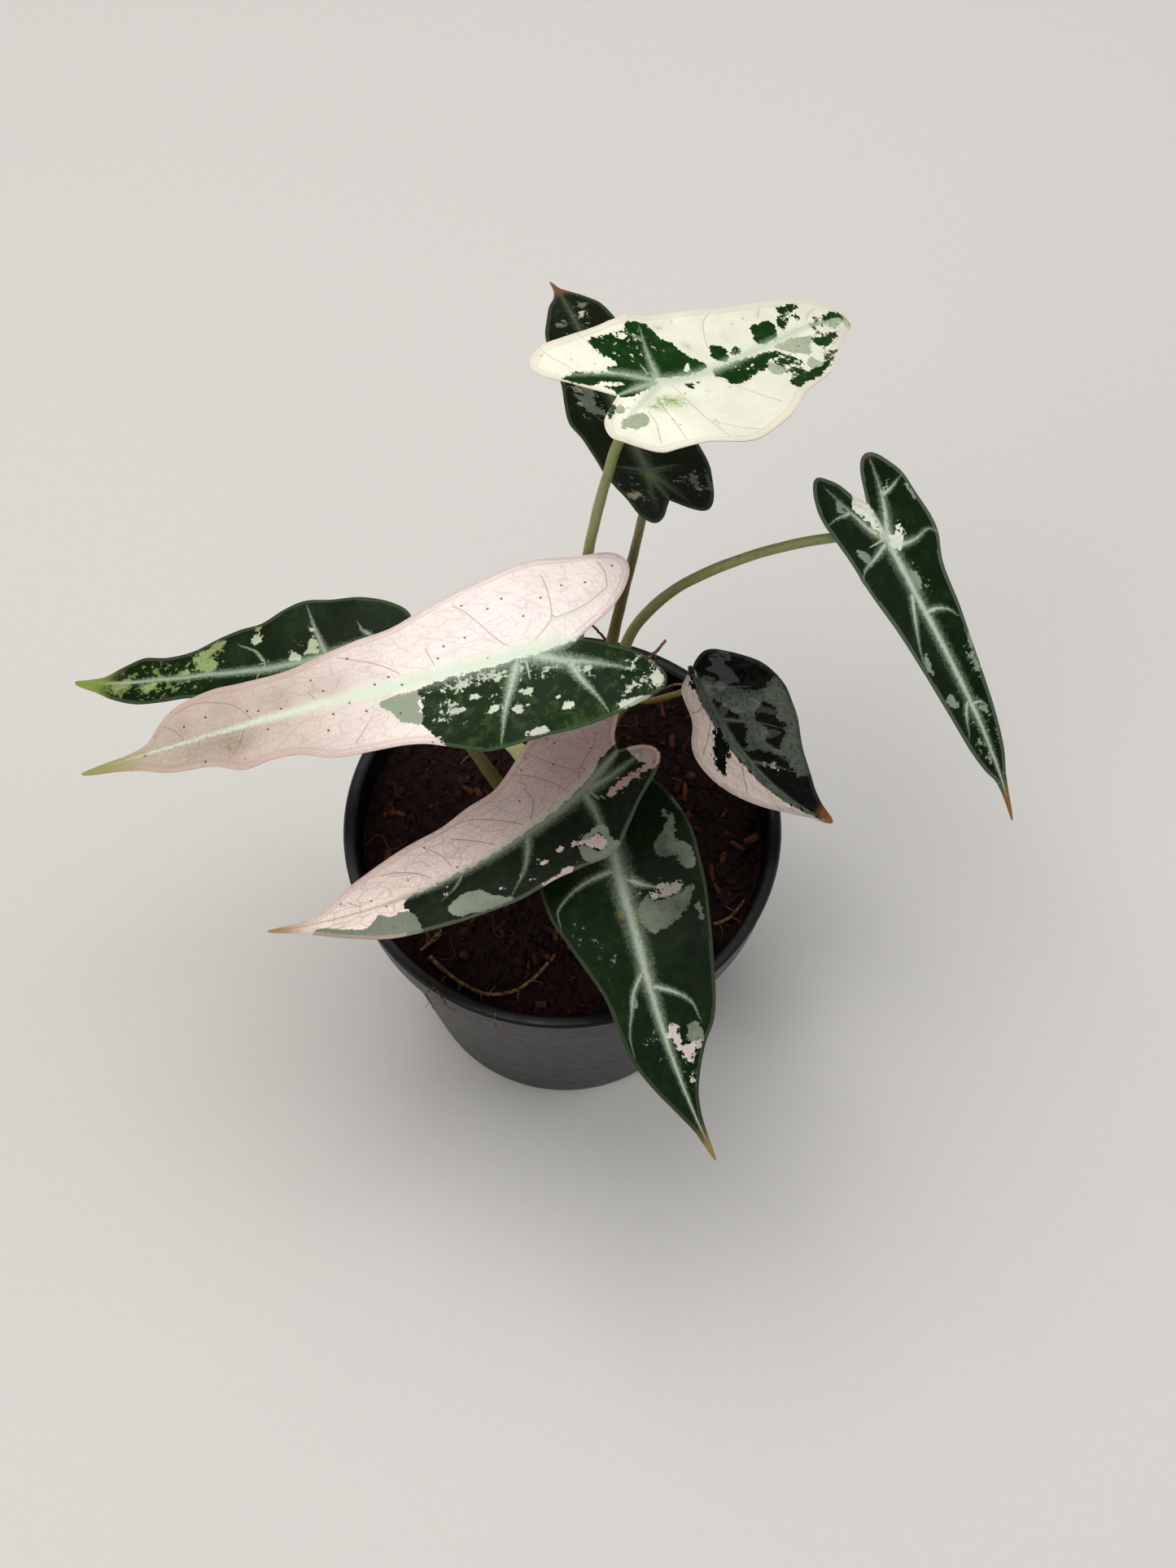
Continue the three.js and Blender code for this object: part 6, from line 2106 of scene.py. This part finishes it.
def folded_leaf() -> Blade:
    """The small glossy blade at the right, folded up along its midrib.

    Returns:
        The blade.
    """
    shape = LeafShape(
        umbo=(35.6, 26.2, 132), length=57, heading=(-63, -42, -6), pitch=(-22, -28, -30), roll=(0, 0),
        sinus=2, skew=0, cup_width=14,
        left=Half("-4.5 5, -3.6 8, -2 10.4, 1 14.4, 5 18.7, 10 21.4, 15 22.1, 20 20.4, 26 17.8, 34 13.4, "
                  "42 9.2, 48 5.5, 53 2.8, 57 0",
                  "-4.5 5, -4 3, -3 1.2, -2 0", 26, 14, (0.2, 20, 0)),
        right=Half("-2.6 1, -2 1.7, -1 2.7, 0 4, 1.2 6.4, 2.7 8.2, 6 9.1, 9.3 9.8, 11.8 11.8, 15 16.9, "
                   "18.5 19.6, 22.5 20, 26 18.6, 31 15.3, 37 11, 43 6.3, 49 2.9, 53 1.8, 57 0",
                   "-2.6 1, -2.4 0.5, -2.2 0.2, -2 0", 30, 4, (0.3, 20, 60)))
    marks = Markings(
        base=Tissue.DARK,
        midrib="-2 0.2, 4 0.8, 20 0.7, 40 0.5, 55 0.2",
        patches="""sage: 11 21.4, 12.3 14, 8.5 8, 3.5 4, 0.6 1.4, 6 0.4, 14 4.6, 20 4.6, 25 1, 29 6, 34 7.6,
        40.4 6.4, 42 9, 34 13.6, 26 18, 20 20.8; dark: 16 12, 18 15, 22 13.6, 25 14.4, 28 11, 30 8.4, 26 7,
        22 9, 19 7.6, 17 9; dark: 25 0.6, 29.3 5.6, 33.5 7.3, 40 6, 41.4 3, 38.5 0.6; dark: 14.5 0.8,
        15 3.8, 19.4 4.2, 20 1; dark: 41 5.6, 46 6.6, 55 2.2, 55 0.6, 41 0.8; pale: 30.6 3.2, 32.4 4.6,
        34.4 4.2, 32.8 3; pale: -3 -3, 4 -3, 20 -3, 40 -2.6, 55 -1, 57 -8, 30 -20, 20 -23, 6 -14, -3 -6;
        sage: 1.4 0, 2 -2.6, 20 -3.6, 40 -2.6, 52 -0.8, 40 0, 20 0.2; dark: 14 -3.6, 21 -3.2, 22.7 -8.6,
        24.5 -12.8, 24 -15.4, 21 -12.8, 17.7 -7.8; dark: 2.4 -3.2, 3.4 -3.2, 3.2 -4.4""",
        ribs="0.6 0.2: 4 0.8, 7 6, 10 12; 0.6 0.2: 14 0.8, 20 8, 26 13; 0.45 0.15: 28 0.6, 33 4, 38 6.4",
        veins="8 -2, 9 -6, 8.6 -9; 12 -3, 16 -9, 18 -15; 26 -3, 29 -8, 31 -12; 34 -2.6, 38 -6, 40 -7.6",
        ripples="2 0.7: 8 2, 16 16; 2 0.8: 18 3, 27 14; 1.8 0.6: 30 2, 37 9; 1.6 0.5: 12 8, 22 18",
        speckles="32 4 3 2 0.5",
        # Tones: painted shade that turns the hood by the umbo nearly black, and a darker spot at 30 mm along.
        tones="1 12 8 9 -0.9, 30 3 7 3 -0.5")
    # The sage band is partly grey-green tissue and partly painted reflection off the wet, crumpled surface.
    skin = LeafSkin(
        pale="#f8e2d7", pale_far="#fae6d9", dark="#050805", light="#0c120a", sage="#636d60",
        sage_dark="#262d26", silver="#5a6558", core="#79867a", rib_on_pale="#8d9483", vein="#a58b82",
        margin="#a09c90", margin_on_dark="#3a4238", tail="#9a6236", tail_from=50, tail_to=56,
        dark_roughness=0.22, pale_roughness=0.4, coat=0.22, crumple=5.0, depth=0.35, ragged=1.5)
    return Blade("leaf_folded", "dark_blade", shape, marks, skin, puckers=0.5)


def leaf_blades() -> list[Blade]:
    """All eight blades."""
    return [cream_leaf(), rear_leaf(), hanging_leaf(), pink_leaf(), low_back_leaf(), low_pink_leaf(),
            front_leaf(), folded_leaf()]


def leaf_stalks(blades: Sequence[Blade]) -> list[Stalk]:
    """The eight stalks, each from the crown to its blade's umbo.

    Args:
        blades: The eight blades.

    Returns:
        The stalks.
    """
    umbos = {blade.name.removeprefix("leaf_"): blade.shape.umbo for blade in blades}
    dusky = StalkSkin(foot="#55482c", middle="#6b6038", top="#76704a", fleck="#4a3420")
    olive = StalkSkin()
    pale = StalkSkin(foot="#6a6a3c", middle="#8d6236", top="#9a8a4c", fleck="#4a2c16")
    rows = {
        "cream": ((2.4, 1.4, 1.2), olive, "-1.5 9 84, 1 13 104, 4 24 148, 7 29 186, 8.4 28.4 199, "
                                          "9.7 26.4 212, 11.5 24.6 226, 14 25 239"),
        "rear": ((2.3, 1.5, 1), dusky, "5.5 8.5 84, 8 19 102, 13 35 130, 15.7 36.5 152, 18.5 33.5 180, "
                                       "20.4 32.2 200"),
        "hanging": ((2.3, 1.42, 1.2), olive, "8.6 0.8 84, 9.8 7 103, 13.4 20 128, 17.5 27 149, 25 27.7 166, "
                                             "34.5 25.8 181, 50.5 25.4 193, 66.5 24.7 200"),
        "pink": ((2.5, 1.7, 1.4), olive, "-1.5 1 84, -4.5 4.8 108, -8.6 10.6 140, -9 7 166, -7 1.5 184"),
        "low_back": ((2.4, 1.6, 1.25), dusky, "-8.4 3.6 84, -12 5.3 95, -17.5 8 104, -23 10.5 116.5, "
                                              "-34 16 136, -44 22 148"),
        "low_pink": ((2.4, 1.6, 1.25), olive, "0.6 -8.6 84, 1.6 -4.5 94, 4.5 0.5 105, 7.8 3 118, "
                                              "8.4 0.8 128, 7.4 -5.5 136"),
        "front": ((2.3, 1.6, 1.2), olive, "7.8 -6.6 84, 10.5 -12 98, 12.6 -15.6 112, 12.9 -16.2 120"),
        "folded": ((1.6, 1, 0.75), pale, "10 15 80, 11.5 21 96, 15 28 105, 19.5 30.5 109.5, 24 28.9 112.6, "
                                         "28.5 27.2 118, 33.2 24.9 126.2"),
    }
    return [Stalk(f"petiole_{name}", path, radius, umbos[name], skin)
            for name, (radius, skin, path) in rows.items()]


def loose_roots() -> list[Root]:
    """The roots that lie on the mix and over the rim, and the stray strands that the frame leaves out.

    Returns:
        The roots and strands.
    """
    reddish = RootSkin(tan="#6b3a2c", grit="#3a1f1a")
    dried = StalkSkin(foot="#7d4a2c", middle="#9a5f38", top="#b3b06a", fleck="#5a2c1c")
    stray = partial(Root, in_frame=False)
    return [
        Root("loose_root_front", "-35.6 -37.4 90.4, -29.6 -43 90.2, -20.6 -48 90, -12 -47 90.2, "
                                 "-6 -42 90.4, -2 -36 88.4", 0.66, 3, 7),
        Root("loose_root_front_branch", "-33 -29 88.6, -35.4 -33 90.2, -38 -36 91.4", 0.6, 4),
        Root("loose_root_right", "41 -27 88.6, 45 -26 90, 49.5 -21 90.4", 0.5, 5),
        Root("loose_root_back_rim", "14 44 91, 18 48 93.6, 22 50 96.4, 25.6 52.6 97.6, 28.6 56.6 97.2, "
                                    "29 59 94", 0.6, 6, 3),
        stray("rim_fibre_long", "-33.6 -48.6 95.9, -34.8 -49.7 96.5, -35.9 -49.6 93.4, -34.9 -50.4 90, "
                                "-34.2 -50.9 86", 0.22, 7, 2),
        stray("rim_fibre_looped", "-32.8 -49.6 96.3, -31.3 -52.3 96.5, -29.6 -54 94.8, -27.2 -54.5 95, "
                                  "-25.3 -53.6 96.4", 0.2, 8, 1),
        stray("rim_fibre_short", "-17.3 -56 96.4, -17.4 -58.4 95.8, -17.2 -58.7 92.6", 0.2, 9, 1),
        stray("back_twig", "13.4 51.6 91, 12.3 56.6 97.2, 10.4 57.4 101, 8.2 57.4 105.6", 0.5, 10, 0,
              reddish),
        stray("dried_strand", "27.6 31.4 114, 28.2 30.8 116.4, 30.4 29.3 120.8, 33 26.7 125.8, 35 25 130.6, "
                              "35.6 24.7 133.2, 35.3 25.3 134.8", 0.34, 11, 0, dried),
    ]


# Studio


@dataclass(frozen=True)
class Studio:
    """Pale floor, soft lights and the camera, which looks down on the plant as the photograph does."""

    camera_at: Point = (7, -294.49, 686.66)
    tilt: float = 27.42
    lens: float = 55.34
    floor_width: float = 6
    floor_colour: str = "#d8d6d2"

    def floor(self) -> None:
        """A plain matt floor, far wider than the view."""
        deselect()
        bpy.ops.mesh.primitive_plane_add(size=self.floor_width)
        floor = named("studio_floor")
        bpy.ops.object.mode_set(mode="EDIT")
        bpy.ops.mesh.subdivide(number_cuts=3)
        bpy.ops.object.mode_set(mode="OBJECT")
        material, node = new_material("painted board")
        place = node("TexCoord", out="Object")
        speck = node("TexNoise", Vector=place, Scale=300.0, Detail=2.0)
        value = node("MapRange", speck, 0.0, 1.0, 0.98, 1.02)
        colour = node("HueSaturation", Color=self.floor_colour, Value=value)
        close_material(node, colour, speck, 0.02, Roughness=0.85, IOR=1.45)
        floor.data.materials.append(material)

    def lamp(self, name: str, at: Point, size: float, power: float, colour: str) -> None:
        """A square soft lamp that faces the plant.

        Args:
            name: Its name.
            at: Its place in metres.
            size: The length of its side in metres.
            power: Its power in watts.
            colour: Its hex colour.
        """
        bpy.ops.object.light_add(type="AREA", location=at)
        lamp = bpy.context.object
        lamp.name = name
        lamp.data.size = size
        lamp.data.energy = power
        lamp.data.color = linear(colour)[:3]
        lamp.rotation_euler = (Vector((0, 0, 0.14)) - Vector(at)).to_track_quat("-Z", "Y").to_euler()

    def build(self) -> None:
        """Sets up floor, lamps, sky and camera."""
        self.floor()
        self.lamp("overhead_softbox", (-0.25, 0.3, 1.45), 0.9, 13.0, "#fffdfa")
        self.lamp("left_fill", (-1.0, -0.8, 0.9), 0.9, 8.0, "#fffdfb")
        self.lamp("right_fill", (1.0, 0.1, 0.8), 0.8, 4.0, "#f4f6fb")
        world = bpy.data.worlds.new("studio air")
        world.use_nodes = True
        world.node_tree.nodes["Background"].inputs["Color"].default_value = linear("#e8e7e4")
        world.node_tree.nodes["Background"].inputs["Strength"].default_value = 0.3
        bpy.context.scene.world = world
        bpy.ops.object.camera_add(location=[c * MM for c in self.camera_at],
                                  rotation=(math.radians(self.tilt), 0, 0))
        camera = bpy.context.object
        camera.name = "viewpoint"
        camera.data.lens = self.lens
        camera.data.sensor_width = 36
        camera.data.sensor_fit = "AUTO"
        camera.data.clip_start = 0.01
        bpy.context.scene.camera = camera
        bpy.context.scene.view_settings.view_transform = "Standard"


def main() -> None:
    """Builds the studio and the plant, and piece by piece."""
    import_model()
    Studio().build()
    pot = Pot()
    pot.build()
    PottingMix(pot).build()
    Crown().build()
    blades = leaf_blades()
    for stalk in leaf_stalks(blades):
        stalk.build()
    for blade in blades:
        blade.build()
    Shoot("-6.5 8.6 84, -7.2 9.8 95, -8.8 12.2 105, -12.4 13.8 113, -17.5 14.6 118.5, -22 15.4 121",
          (2.1, 2.5, 2.5, 0.9)).build()
    for root in loose_roots():
        root.build()
    deselect()


if __name__ == "__main__":
    main()
